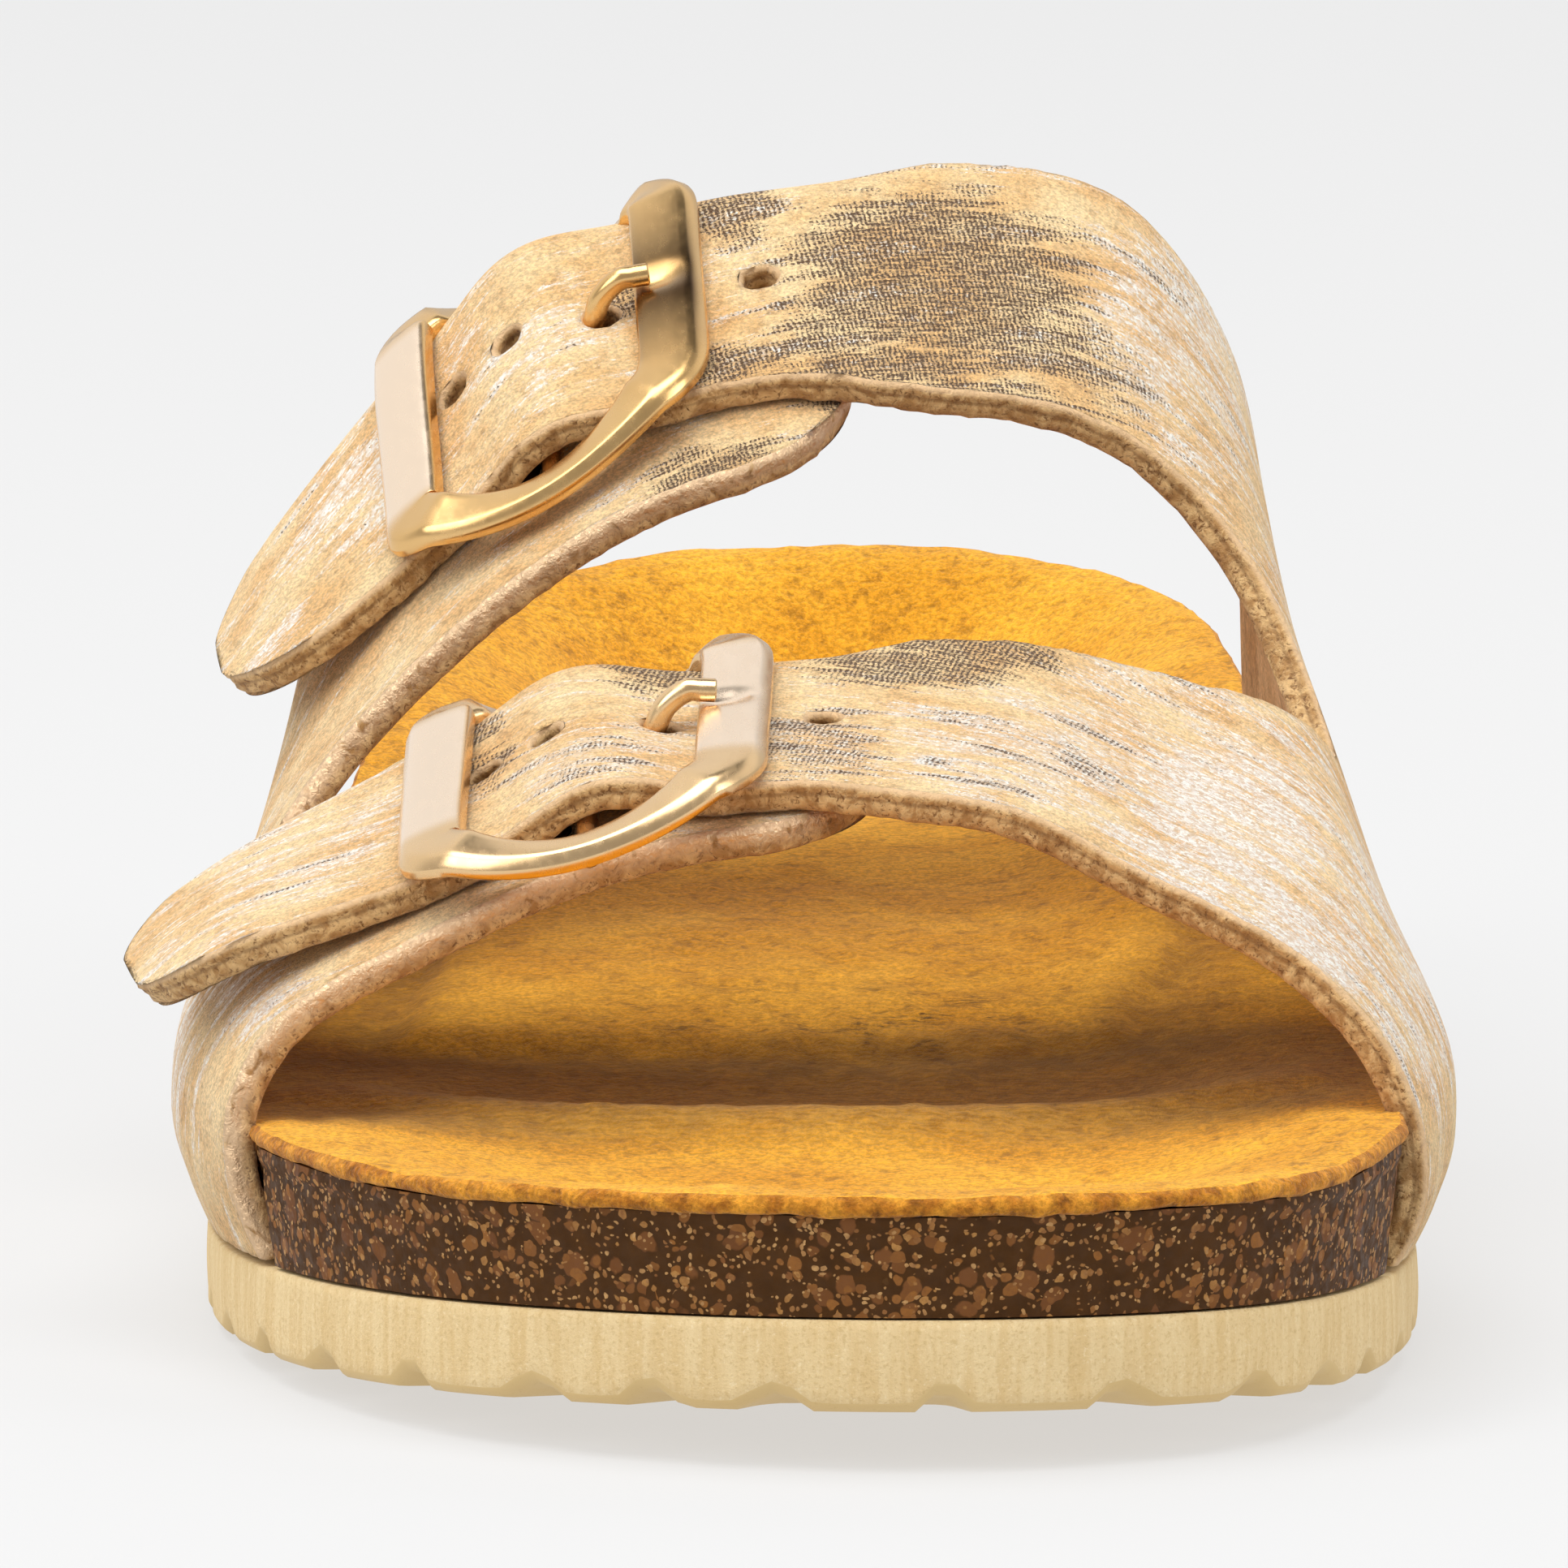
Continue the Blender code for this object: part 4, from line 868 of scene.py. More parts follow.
def makeInsole():
    look = insoleLook
    rim = bedRing(0.0, sole["gap"] + sole["liner"])
    under = bedRing(0.0, look["lift"])
    out = loopNormals()
    rings = [bedRing(share, sole["gap"] * 0.6) for share in (1.0, 0.5, 0.1)]
    rings.append(under)
    for drop, push in look["edge"]:
        ring = rim + (under - rim) * drop
        ring[:, :2] += out * (push * mm)
        rings.append(ring)
    edgeEnd = len(rings)
    shares = np.linspace(0.0, 1.0, look["rings"]) ** look["closer"]
    for share in shares[1:]:
        rings.append(bedRing(share, sole["gap"] + sole["liner"]))
    piece = closedRings("suedeInsole", rings)
    useMaterials(piece, [insoleSuede, insoleEdge])
    around = len(loopPlan)
    material = np.zeros(len(piece.data.polygons), np.int32)
    material[2 * around:(edgeEnd - 1) * around] = 1
    piece.data.polygons.foreach_set("material_index", material)
    weld(piece, outward=True)
    points = pointsOf(piece)
    fuzz = ripple(points, 2.2 * mm, 21) * 0.10 * mm + ripple(points, 0.9 * mm, 22) * 0.05 * mm
    edge = np.abs(points[:, 2] - rimHeight(points[:, 0], points[:, 1]) - 1 * mm) < 2.0 * mm
    soft = ripple(points * (1, 1, 0), 16 * mm, 23) * 0.10 * mm
    push = normalsOf(piece) * (fuzz * edge + soft)[:, None]
    placePoints(piece, points + push)
    x, y = points[:, 0], points[:, 1]
    # painted shade for the ball area under the front strap: partly a painted shadow of the strap,
    # partly greyer suede
    front = -0.040 + 0.003 * np.sin(x / 0.012)
    shade = ease((front - y) / (7 * mm) + 0.5) * ease((y + 0.078) / (7 * mm) + 0.5)
    shade *= ease((0.052 - np.abs(x + 0.002)) / (8 * mm))
    soil = np.exp(-((y + 0.036) / (14 * mm)) ** 2) * np.exp(-((x - 0.006) / (26 * mm)) ** 2)
    soil += 0.8 * np.exp(-((y + 0.066) / (9 * mm)) ** 2) * np.exp(-((x + 0.022) / (18 * mm)) ** 2)
    paint(piece, "shade", np.clip(shade * 0.62, 0, 1))
    paint(piece, "soil", np.clip(soil, 0, 1))
    # painted shade in the creases round the cushion pad, and a painted shadow of the front strap
    # across the pad's front
    inside = padInside(x, y)
    creaseAndStrapShade = 0.36 * np.exp(-(inside / 3.6) ** 2) + 0.28 * np.exp(-((inside + 5.0) / 5.0) ** 2)
    creaseAndStrapShade *= ease((0.060 - y) / 0.05) * ease((y + 0.075) / 0.02)
    strapShadow = 0.26 * np.exp(-((y + 0.020) / 0.030) ** 2)
    paint(piece, "creaseAndStrapShade", np.clip(creaseAndStrapShade + strapShadow, 0, 1))
    return finishPiece(piece, ["insole"])


makeOutsole()
makeFootbed()
makeInsole()
print("sole ready")


def makeArch():
    stations = np.linspace(-0.105, 0.045, 151)
    shares = np.linspace(0.0, 1.0, 421)
    sheet = np.empty((len(stations), len(shares), 3))
    lengths = np.empty(len(stations))
    for j, y in enumerate(stations):
        along = y / sole["length"]
        base = float(outsoleTop(y)) + sole["gap"]
        top = float(softCurve(archRows["along"], archRows["top"], along)) * sole["instep"]
        sides = []
        for name, side in (("medial", 1), ("lateral", -1)):
            table = np.array(archRows[name])
            width = float(halfWidth(y, side))
            sides.append([(side * width * float(softCurve(archRows["along"], table[:, k], along)),
                           base + level * (top - base)) for k, level in enumerate(archLevels)])
        peak = (archPeak * float(halfWidth(y, 1)), top)
        curve = roundCurve(sides[0] + [peak] + sides[1][::-1], 16)
        run = runAlong(curve)
        lengths[j] = run[-1]
        sheet[j, :, 0] = np.interp(shares * run[-1], run, curve[:, 0])
        sheet[j, :, 1] = y
        sheet[j, :, 2] = np.interp(shares * run[-1], run, curve[:, 1])
    back = np.gradient(sheet, axis=0)
    ahead = np.gradient(sheet, axis=1)
    normal = np.cross(back, ahead)
    normal /= np.linalg.norm(normal, axis=2)[:, :, None]
    for k in (0, 1, -1, -2):
        normal[:, k, 1:] = 0.0
        normal[:, k] /= np.linalg.norm(normal[:, k], axis=1)[:, None]
    return stations, sheet, normal, lengths


archStations, archSheet, archNormal, archLengths = makeArch()


def archLength(y):
    return np.interp(y, archStations, archLengths)


def archAt(way, y, lift):
    # points that stand lift outside the form, at shares of its way over the foot
    way, y = np.broadcast_arrays(np.asarray(way, float), np.asarray(y, float))
    rows, columns = len(archStations) - 1, archSheet.shape[1] - 1
    j = (y - archStations[0]) / (archStations[1] - archStations[0])
    i = way * columns
    j0 = np.clip(np.floor(j).astype(int), 0, rows - 1)
    i0 = np.clip(np.floor(i).astype(int), 0, columns - 1)
    s, t = (j - j0)[..., None], (i - i0)[..., None]

    def blend(sheet):
        return ((sheet[j0, i0] * (1 - t) + sheet[j0, i0 + 1] * t) * (1 - s)
                + (sheet[j0 + 1, i0] * (1 - t) + sheet[j0 + 1, i0 + 1] * t) * s)

    normal = blend(archNormal)
    normal /= np.linalg.norm(normal, axis=-1)[..., None]
    return blend(archSheet) + normal * np.asarray(lift)[..., None]


strapLook = {
    "width": 30.0 * mm, "columns": 48, "rampStart": 0.300, "rampEnd": 0.425,
    "tailRound": 10.5 * mm, "tabRound": 11.0 * mm, "edgeRound": 0.50 * mm,
    "edgeGroove": 0.16 * mm, "fuzz": 0.11 * mm, "holeRadius": 1.20 * mm,
    "rearSpare": 0.3 * mm, "tailBlunt": 0.37, "tabBlunt": 0.46,
}
buckles = {
    "front": {"across": -0.0172, "along": -0.241, "lean": 17.0, "tail": 37.2 * mm,
              "tailLift": 4.2 * mm, "holes": [(-18.4, 0.5), (-6.0, 0.0), (2.8, 1.0), (8.2, 2.0)],
              "tabTip": 0.478, "twist": 0.10, "barToe": -15.0 * mm},
    "rear": {"across": -0.0215, "along": 0.031, "lean": 25.0, "tail": 34.0 * mm,
             "tailLift": 4.4 * mm, "holes": [(-18.9, 0.5), (-6.2, 0.0), (1.6, 1.5), (7.6, 2.5)],
             "tabTip": 0.492, "twist": 0.065, "barToe": -13.4 * mm},
}
barSpacing, barWidth, armWidth = 23.6 * mm, 5.5 * mm, 3.3 * mm
# where the side bars end towards the heel, and how far each arm bows past the bars
barHeel, bowToe, bowHeel = 14.0 * mm, 4.9 * mm, 3.2 * mm
# past this distance from the centre bar's middle, strap and frame bend down over the instep
droopStart, droopRate = 12.0 * mm, 105.0
frameThick, pinRadius, prongRadius = 1.8 * mm, 1.0 * mm, 0.95 * mm
frontStrap = {"way": [0.00, 0.10, 0.22, 0.32, 0.45, 0.60],
              "front": [-0.345, -0.343, -0.334, -0.322, -0.308, -0.300],
              "rear": [-0.160, -0.135, -0.128, -0.150, -0.172, -0.182]}
rearStrap = {"way": [0.00, 0.12, 0.24, 0.34, 0.46, 0.60],
             "front": [-0.060, -0.075, -0.056, -0.029, -0.030, -0.022],
             "rear": [0.112, 0.122, 0.124, 0.112, 0.098, 0.086]}
frontTab = {"way": [1.00, 0.88, 0.76, 0.62, 0.47],
            "front": [-0.325, -0.322, -0.316, -0.308, -0.303],
            "rear": [-0.150, -0.140, -0.150, -0.170, -0.184]}
rearTab = {"way": [1.00, 0.88, 0.76, 0.62, 0.47],
           "front": [-0.060, -0.070, -0.072, -0.060, -0.050],
           "rear": [0.105, 0.105, 0.098, 0.090, 0.080]}
medialNotch = {"way": 0.215, "along": -0.103, "round": 0.060}
lateralNotch = {"way": 0.820, "along": -0.103, "round": -0.070}


def wayAt(x, y):
    # share of the way over the foot at which the form passes x on its upper half
    row = archSheet[int(round((y - archStations[0]) / (archStations[1] - archStations[0])))]
    upper = row[row[:, 2] > 0.5 * row[:, 2].max()]
    share = np.linspace(0.0, 1.0, len(row))[row[:, 2] > 0.5 * row[:, 2].max()]
    return float(np.interp(-x, -upper[:, 0], share))


for name, buckle in buckles.items():
    buckle["y"] = buckle["along"] * sole["length"]
    buckle["way"] = wayAt(buckle["across"], buckle["y"])
    buckle["length"] = float(archLength(buckle["y"]))


def droop(q):
    return droopRate * np.clip(q - droopStart, 0.0, 8 * mm) ** 2


def strapLift(name, way, y):
    look, buckle = strapLook, buckles[name]
    up = ease((way - look["rampStart"]) / (look["rampEnd"] - look["rampStart"]))
    p = (way - buckle["way"]) * archLength(y)
    lift = up * (sole["leather"] + sole["gap"])
    reach = 0.42 * barSpacing
    over = np.where(np.abs(p) < reach, np.cos(0.5 * math.pi * p / reach) ** 2, 0.0)
    lift = lift + (2 * pinRadius + sole["gap"]) * over
    past = np.clip(p - 0.62 * barSpacing, 0.0, None)
    lift = lift + buckle["tailLift"] * (past / (buckle["tail"] - 0.62 * barSpacing)) ** 1.6
    q = (y - buckle["y"]) / math.cos(math.radians(buckle["lean"]))
    return lift - droop(q) * ease((way - 0.45) / 0.08)


def notchedEdges(front, rear, way, notch, edge):
    t = np.clip((way - notch["way"]) / notch["round"], 0.0, 1.0)
    openShare = np.sqrt(1.0 - (1.0 - t) ** 2)
    seam = notch["along"] * sole["length"]
    if edge == "rear":
        return front, seam + (rear - seam) * openShare
    return seam + (front - seam) * openShare, rear


def roundedEdges(front, rear, left, radius, most):
    inside = np.clip(radius - left, 0.0, radius)
    pull = radius - np.sqrt(radius**2 - inside**2)
    pull = np.minimum(pull, most * (rear - front))
    return front + pull, rear - pull


def strapWays(start, notch, stop, tip, step):
    # rows along a strap, closer round the notch and the tip
    sign = 1 if stop > start else -1
    turn = [notch["way"] + notch["round"] * (1 - math.cos(math.radians(a)))
            for a in range(10, 90, 8)]
    mainStart, last = notch["way"] + notch["round"], stop - sign * tip
    low = np.linspace(start, notch["way"], int(abs(notch["way"] - start) / step) + 1)
    main = np.linspace(mainStart, last, int(abs(last - mainStart) / step) + 1)
    end = [last + sign * tip * math.sin(math.radians(a)) for a in range(5, 91, 5)]
    return np.array(list(low) + turn + list(main) + end)


def stripGrid(name, ways, columns, edges, lift, length):
    # one strap as a sheet over the form, with its own place in mm for the patterns
    front, rear = edges(ways)
    shares = np.linspace(0.0, 1.0, columns + 1)
    y = front[:, None] + (rear - front)[:, None] * shares[None, :]
    way = np.repeat(ways[:, None], columns + 1, axis=1)
    piece = newGrid(name, columns, len(ways) - 1)
    placePoints(piece, archAt(way, y, lift(way, y)).reshape(-1, 3))
    place = np.stack([way * length / mm, y / mm, np.zeros_like(y)], axis=-1)
    paint(piece, "strapPlace", place.reshape(-1, 3))
    return piece


def cutHole(piece, centre, radius):
    # takes out the faces under a punch and pulls the edge left behind onto its circle
    place = painted(piece, "strapPlace", 3)[:, :2] * mm
    away = np.linalg.norm(place - centre, axis=1)
    pickOnly(piece)
    bpy.ops.object.mode_set(mode="EDIT")
    bpy.ops.mesh.select_mode(type="FACE")
    bpy.ops.mesh.select_all(action="DESELECT")
    bpy.ops.object.mode_set(mode="OBJECT")
    corners = set()
    for face in piece.data.polygons:
        near = away[list(face.vertices)]
        if near.mean() < radius:
            face.select = True
            corners.update(face.vertices)
    kept = set()
    for face in piece.data.polygons:
        if not face.select:
            kept.update(v for v in face.vertices if v in corners)
    points = pointsOf(piece)
    normals = normalsOf(piece)
    middle = int(np.argmin(away))
    # the two in-sheet directions near the hole, to turn a move in the pattern into one in space
    near = np.argsort(away)[:40]
    flat = np.column_stack([place[near] - place[middle], np.ones(len(near))])
    fit = np.linalg.lstsq(flat, points[near], rcond=None)[0]
    for v in kept:
        goal = centre + (place[v] - centre) * (radius / max(away[v], 1e-6))
        move = goal - place[v]
        points[v] += fit[0] * move[0] + fit[1] * move[1]
    dip = np.exp(-(away / (1.9 * radius)) ** 2) * 0.40 * mm
    points -= normals * dip[:, None]
    placePoints(piece, points)
    bpy.ops.object.mode_set(mode="EDIT")
    bpy.ops.mesh.delete(type="FACE")
    bpy.ops.object.mode_set(mode="OBJECT")


def thickenStrap(piece, thickness, groove):
    # gives the sheet its thickness, then shapes the cut edge: round corners and a glue line
    pickOnly(piece)
    wall = piece.modifiers.new("wall", "SOLIDIFY")
    wall.thickness, wall.offset = thickness, -1.0
    wall.use_even_offset = wall.use_quality_normals = True
    wall.material_offset_rim, wall.material_offset = 1, 2
    outer = len(piece.data.vertices)
    bpy.ops.object.modifier_apply(modifier="wall")
    data = piece.data
    depth = np.ones(len(data.vertices))
    depth[:outer] = 0.0
    paint(piece, "depth", depth)
    away = np.zeros((len(data.vertices), 3))
    ringEdges = {}
    for face in data.polygons:
        if face.material_index in (1, 4):
            for v in face.vertices:
                away[v] += face.normal
            for key in face.edge_keys:
                if (key[0] < outer) != (key[1] < outer):
                    ringEdges[key] = True
    size = np.linalg.norm(away, axis=1)
    away[size > 0] /= size[size > 0][:, None]
    paint(piece, "edgeOut", away)
    bpy.ops.object.mode_set(mode="EDIT")
    bpy.ops.mesh.select_mode(type="EDGE")
    bpy.ops.mesh.select_all(action="DESELECT")
    bpy.ops.object.mode_set(mode="OBJECT")
    for edge in data.edges:
        edge.select = edge.key in ringEdges
    bpy.ops.object.mode_set(mode="EDIT")
    bpy.ops.mesh.subdivide_edgering(number_cuts=7, interpolation="LINEAR")
    bpy.ops.object.mode_set(mode="OBJECT")
    depth = painted(piece, "depth").astype(float)
    away = painted(piece, "edgeOut", 3).astype(float)
    points = pointsOf(piece)
    look = strapLook
    shape = -look["edgeRound"] * np.abs(2 * depth - 1) ** 5
    shape -= groove * np.exp(-((depth - 0.40) / 0.08) ** 2)
    rough = ripple(points, 1.7 * mm, 31) * look["fuzz"] + ripple(points, 6 * mm, 32) * 0.10 * mm
    points += away * (shape + rough)[:, None]
    placePoints(piece, points)


# Where the foil is left on the suede, seen from the front and a little above: across, up, half
# width, half height in mm, turn in degrees, then how much foil and how much of the brown woven
# specks.
foilSlope = math.radians(8.0)
foilPatches = {
    "rear": [
        (13, 78, 13, 8, -8, 0.55, 1.00), (9, 72, 10, 8, 0, 0.60, 0.90),
        (32, 74, 7, 10, -40, 0.95, 0.25), (36, 65, 5, 8, -20, 0.80, 0.20),
        (22, 70, 10, 7, -30, 0.60, 0.70), (-4, 84, 4, 4, -20, 0.75, 0.90),
        (-2, 70, 7, 2.2, 0, 0.60, 0.80), (-17, 74, 5, 3, 10, 0.80, 0.25),
        (-23, 71, 5, 3.5, 0, 0.75, 0.10), (-13, 76, 4, 2, 20, 0.6, 0.7),
        (-35, 60, 3.5, 9, -35, 0.85, 0.10), (-42, 48, 2.5, 4, -20, 0.75, 0.05),
        (-27, 80, 5, 2, 35, 0.65, 0.10), (40, 50, 3, 8, 0, 0.55, 0.10),
        (-5, 61, 6, 3, 15, 0.50, 0.90),
    ],
    "front": [
        (12, 46, 12, 3, 0, 0.55, 0.95), (-10, 45, 5, 2.5, -5, 0.60, 0.85),
        (-14, 38, 7, 2.5, 20, 0.85, 0.45), (-24, 38, 3, 3.5, 0, 0.65, 0.70),
        (3, 38, 6, 5, 0, 0.80, 0.55), (19, 38, 11, 5, -10, 0.90, 0.35),
        (36, 33, 9, 8, -35, 1.00, 0.05), (31, 42, 9, 4, -25, 0.85, 0.35),
        (36, 25, 14, 5, -25, 1.00, 0.05), (49, 22, 5, 12, 10, 0.85, 0.15),
        (-38, 31, 9, 4, 25, 0.75, 0.15), (2, 30, 12, 2.0, 4, 0.30, 0.75),
        (-10, 29, 14, 1.6, 8, 0.75, 0.35), (-43, 20, 5, 5, 20, 0.80, 0.10),
        (-49, 15, 3, 9, 0, 0.80, 0.10),
    ],
}


def paintFoil(piece, patches, base):
    points = pointsOf(piece)
    foil = np.full(len(points), base)
    woven = np.full(len(points), -0.25)
    across = (points[:, 0] + frameShift[0]) / mm
    up = (points[:, 2] * math.cos(foilSlope) + points[:, 1] * math.sin(foilSlope)) / mm
    for x, z, wide, high, turn, foilShare, wovenShare in patches:
        dx, dz = across - x, up - z
        c, s = math.cos(math.radians(turn)), math.sin(math.radians(turn))
        r = np.sqrt(((dx * c + dz * s) / wide) ** 2 + ((dz * c - dx * s) / high) ** 2)
        share = ease(1.45 - r)
        foil = np.maximum(foil, base + (0.76 * foilShare - base) * share)
        woven = np.maximum(woven, wovenShare * share)
    paint(piece, "foil", foil)
    paint(piece, "woven", woven)


def joinPieces(pieces, name):
    clearSelection()
    for piece in pieces:
        piece.select_set(True)
    bpy.context.view_layer.objects.active = pieces[0]
    bpy.ops.object.join()
    pieces[0].name = pieces[0].data.name = name
    return pieces[0]


def joinStraps(strips, name, edge):
    # slots 0 to 2 are the front strap's face, edge and lining, 3 to 5 the rear strap's
    piece = joinPieces(strips, name)
    piece.data.materials.append(edge)
    piece.data.materials.append(strapInside)
    return piece


def makeLongStraps():
    strips = []
    for index, (name, rows, edge) in enumerate((("front", frontStrap, "rear"),
                                                ("rear", rearStrap, "front"))):
        buckle = buckles[name]
        length = buckle["length"]
        stop = buckle["way"] + buckle["tail"] / length
        ways = strapWays(0.0, medialNotch, stop, strapLook["tailRound"] / length,
                         0.75 * mm / length)
        if index == 0:
            sharedWays = ways[ways <= medialNotch["way"] + 1e-9]
        else:
            ways = np.concatenate([sharedWays, ways[ways > medialNotch["way"] + 1e-9]])

        def edges(way):
            narrow = 0.5 * strapLook["width"] * math.cos(math.radians(buckle["lean"]))
            blend = ease((way - 0.45) / 0.10)
            front = softCurve(rows["way"], rows["front"], way) * sole["length"]
            rear = softCurve(rows["way"], rows["rear"], way) * sole["length"]
            front = front + (buckle["y"] - narrow - front) * blend
            rear = rear + (buckle["y"] + narrow + strapLook["rearSpare"] - rear) * blend
            front, rear = notchedEdges(front, rear, way, medialNotch, edge)
            return roundedEdges(front, rear, (stop - way) * length, strapLook["tailRound"],
                                strapLook["tailBlunt"])

        strip = stripGrid("strip_" + name, ways, strapLook["columns"], edges,
                          lambda way, y: strapLift(name, way, y), length)
        for along, across in buckle["holes"]:
            place = np.array([buckle["way"] * length + along * mm, buckle["y"] + across * mm])
            cutHole(strip, place, strapLook["holeRadius"])
        paintFoil(strip, foilPatches[name], 0.28)
        face = strapFaceFront if name == "front" else strapFaceRear
        useMaterials(strip, [face, strapEdge, strapInside])
        strips.append(strip)
    return joinStraps(strips, "strapsMedial", strapEdge)


def makeTabs():
    strips = []
    for index, (name, rows, edge) in enumerate((("front", frontTab, "rear"),
                                                ("rear", rearTab, "front"))):
        length = buckles[name]["length"]
        stop = buckles[name]["tabTip"]
        ways = strapWays(1.0, lateralNotch, stop, strapLook["tabRound"] / length,
                         0.9 * mm / length)
        if index == 0:
            sharedWays = ways[ways >= lateralNotch["way"] - 1e-9]
        else:
            ways = np.concatenate([sharedWays, ways[ways < lateralNotch["way"] - 1e-9]])

        def edges(way):
            front = softCurve(rows["way"], rows["front"], way) * sole["length"]
            rear = softCurve(rows["way"], rows["rear"], way) * sole["length"]
            front, rear = notchedEdges(front, rear, way, lateralNotch, edge)
            return roundedEdges(front, rear, (way - stop) * length, strapLook["tabRound"],
                                strapLook["tabBlunt"])

        strip = stripGrid("tab_" + name, ways, 40, edges, lambda way, y: 0.0 * way, length)
        paintFoil(strip, foilPatches[name], 0.26)
        face = strapFaceFront if name == "front" else strapFaceRear
        useMaterials(strip, [face, tabEdge, strapInside])
        strips.append(strip)
    return joinStraps(strips, "strapsLateral", tabEdge)


medial = makeLongStraps()
weld(medial)
thickenStrap(medial, sole["leather"], strapLook["edgeGroove"])
finishPiece(medial, ["upper_medial"])
lateral = makeTabs()
weld(lateral)
pickOnly(lateral)
bpy.ops.object.mode_set(mode="EDIT")
bpy.ops.mesh.select_all(action="SELECT")
bpy.ops.mesh.flip_normals()
bpy.ops.object.mode_set(mode="OBJECT")
thickenStrap(lateral, sole["leather"], 0.0)
finishPiece(lateral, ["upper_lateral"])
print("straps ready")


def bucklePoint(name, p, q, lift):
    buckle = buckles[name]
    q = np.asarray(q)
    y = buckle["y"] + q * math.cos(math.radians(buckle["lean"]))
    return archAt(buckle["way"] + (np.asarray(p) - buckle["twist"] * q) / archLength(y), y, lift)


def frameLift(p, q=0.0):
    share = np.clip(np.abs(p) / (0.5 * barSpacing - 0.5 * barWidth), 0, 1)
    rise = sole["leather"] + 2 * sole["gap"]
    # the heel arm dips under the strap, the toe arm stays nearly level in front of it
    dip = np.where(np.asarray(q) < 0, 0.38 + 0.62 * share**2, share**4)
    return sole["gap"] + rise * dip - 1.15 * droop(q)


frameSection = [(-0.5, 0.10), (-0.47, 0.0), (0.0, 0.0), (0.47, 0.0), (0.5, 0.10), (0.5, 0.42),
                (0.485, 0.52), (0.36, 0.90), (0.31, 0.97), (0.22, 1.0), (0.0, 1.02),
                (-0.25, 1.0), (-0.36, 0.98), (-0.44, 0.92), (-0.485, 0.80), (-0.5, 0.60)]


def frameLoop(barToe, barSteps, armSteps):
    half = 0.5 * barSpacing
    loop = []
    for side, first, last, bow in ((1, barToe, barHeel, bowHeel), (-1, barHeel, barToe, bowToe)):
        radius = (half**2 + bow**2) / (2 * bow)
        turn = math.asin(half / radius)
        for k in range(barSteps):
            loop.append((side * half, first + (last - first) * k / barSteps, barWidth))
        for k in range(armSteps):
            angle = turn * (1 - 2 * k / armSteps)
            wide = armWidth + (barWidth - armWidth) * abs(1 - 2 * k / armSteps) ** 1.3
            loop.append((side * radius * math.sin(angle),
                         last + side * (radius * math.cos(angle) - radius + bow), wide))
    return np.array(loop)


def smoothLoop(values, passes):
    for _ in range(passes):
        values = (np.roll(values, 1, axis=0) + 2 * values + np.roll(values, -1, axis=0)) / 4
    return values


def makeBuckle(name, metal):
    barToe = buckles[name]["barToe"]
    loop = frameLoop(barToe, 64, 48)
    soft = ease(0.5 - loop[:, 0] / (12 * mm))[:, None]
    loop = smoothLoop(loop, 4) * (1 - soft) + smoothLoop(loop, 40) * soft
    count = len(loop)
    run = np.roll(loop[:, :2], -1, axis=0) - np.roll(loop[:, :2], 1, axis=0)
    run /= np.linalg.norm(run, axis=1)[:, None]
    out = np.column_stack([run[:, 1], -run[:, 0]])
    clearSelection()
    bpy.ops.mesh.primitive_torus_add(major_segments=count, minor_segments=len(frameSection))
    piece = bpy.context.object
    piece.name = piece.data.name = "buckleFrame" + name.capitalize()
    rows, paintedBrightReflection, paintedDarkReflection = [], [], []
    # painted reflections: the flat tops of the side bars get a pale painted reflection of the
    # bright light above; on the rear buckle one bar gets a dark bronze painted reflection of the
    # darker gap instead, left out of the prong's dent
    flat = ease((np.abs(loop[:, 0]) - 9.2 * mm) / (1.2 * mm))
    flat *= ease((13.5 * mm - np.abs(loop[:, 1])) / (2.5 * mm))
    darkReflectionShare = 0 * flat
    if name == "rear":
        darkReflectionShare = flat * (loop[:, 0] < 0) * np.exp(-((loop[:, 1] + 1.0 * mm) / (8.5 * mm)) ** 2)
        flat *= loop[:, 0] > 0
    for side, up in frameSection:
        reach = 0.5 * barWidth - (0.5 - side) * loop[:, 2]
        place = loop[:, :2] + out * reach[:, None]
        lift = frameLift(loop[:, 0], loop[:, 1]) + up * frameThick
        # the dent that the prong rests in, on the bar towards the middle of the foot
        dent = np.exp(-(((place[:, 0] + 0.5 * barSpacing - 0.8 * mm) / (1.7 * mm)) ** 2
                        + (place[:, 1] / (1.5 * mm)) ** 2))
        lift = lift - dent * 0.75 * mm * max(up - 0.3, 0.0) / 0.7
        rows.append(bucklePoint(name, place[:, 0], place[:, 1], lift))
        paintedBrightReflection.append(flat * (up > 0.88))
        paintedDarkReflection.append(darkReflectionShare * (1 - np.clip(1.4 * dent, 0, 1)) * (up > 0.88))
    placePoints(piece, np.stack(rows, axis=1).reshape(-1, 3))
    paint(piece, "paintedBrightReflection", np.stack(paintedBrightReflection, axis=1).reshape(-1))
    paint(piece, "paintedDarkReflection", np.stack(paintedDarkReflection, axis=1).reshape(-1))
    weld(piece, outward=True)
    q = np.linspace(barToe - bowToe, barHeel + bowHeel, 41)
    pin = makeTube("pin" + name.capitalize(),
                   bucklePoint(name, 0 * q, q, sole["gap"] + pinRadius - 1.15 * droop(q)),
                   pinRadius, 14)
    piece = joinPieces([piece, pin], "buckleFrame" + name.capitalize())
    useMaterials(piece, [metal])
    return finishPiece(piece, ["buckle_" + name], 40)


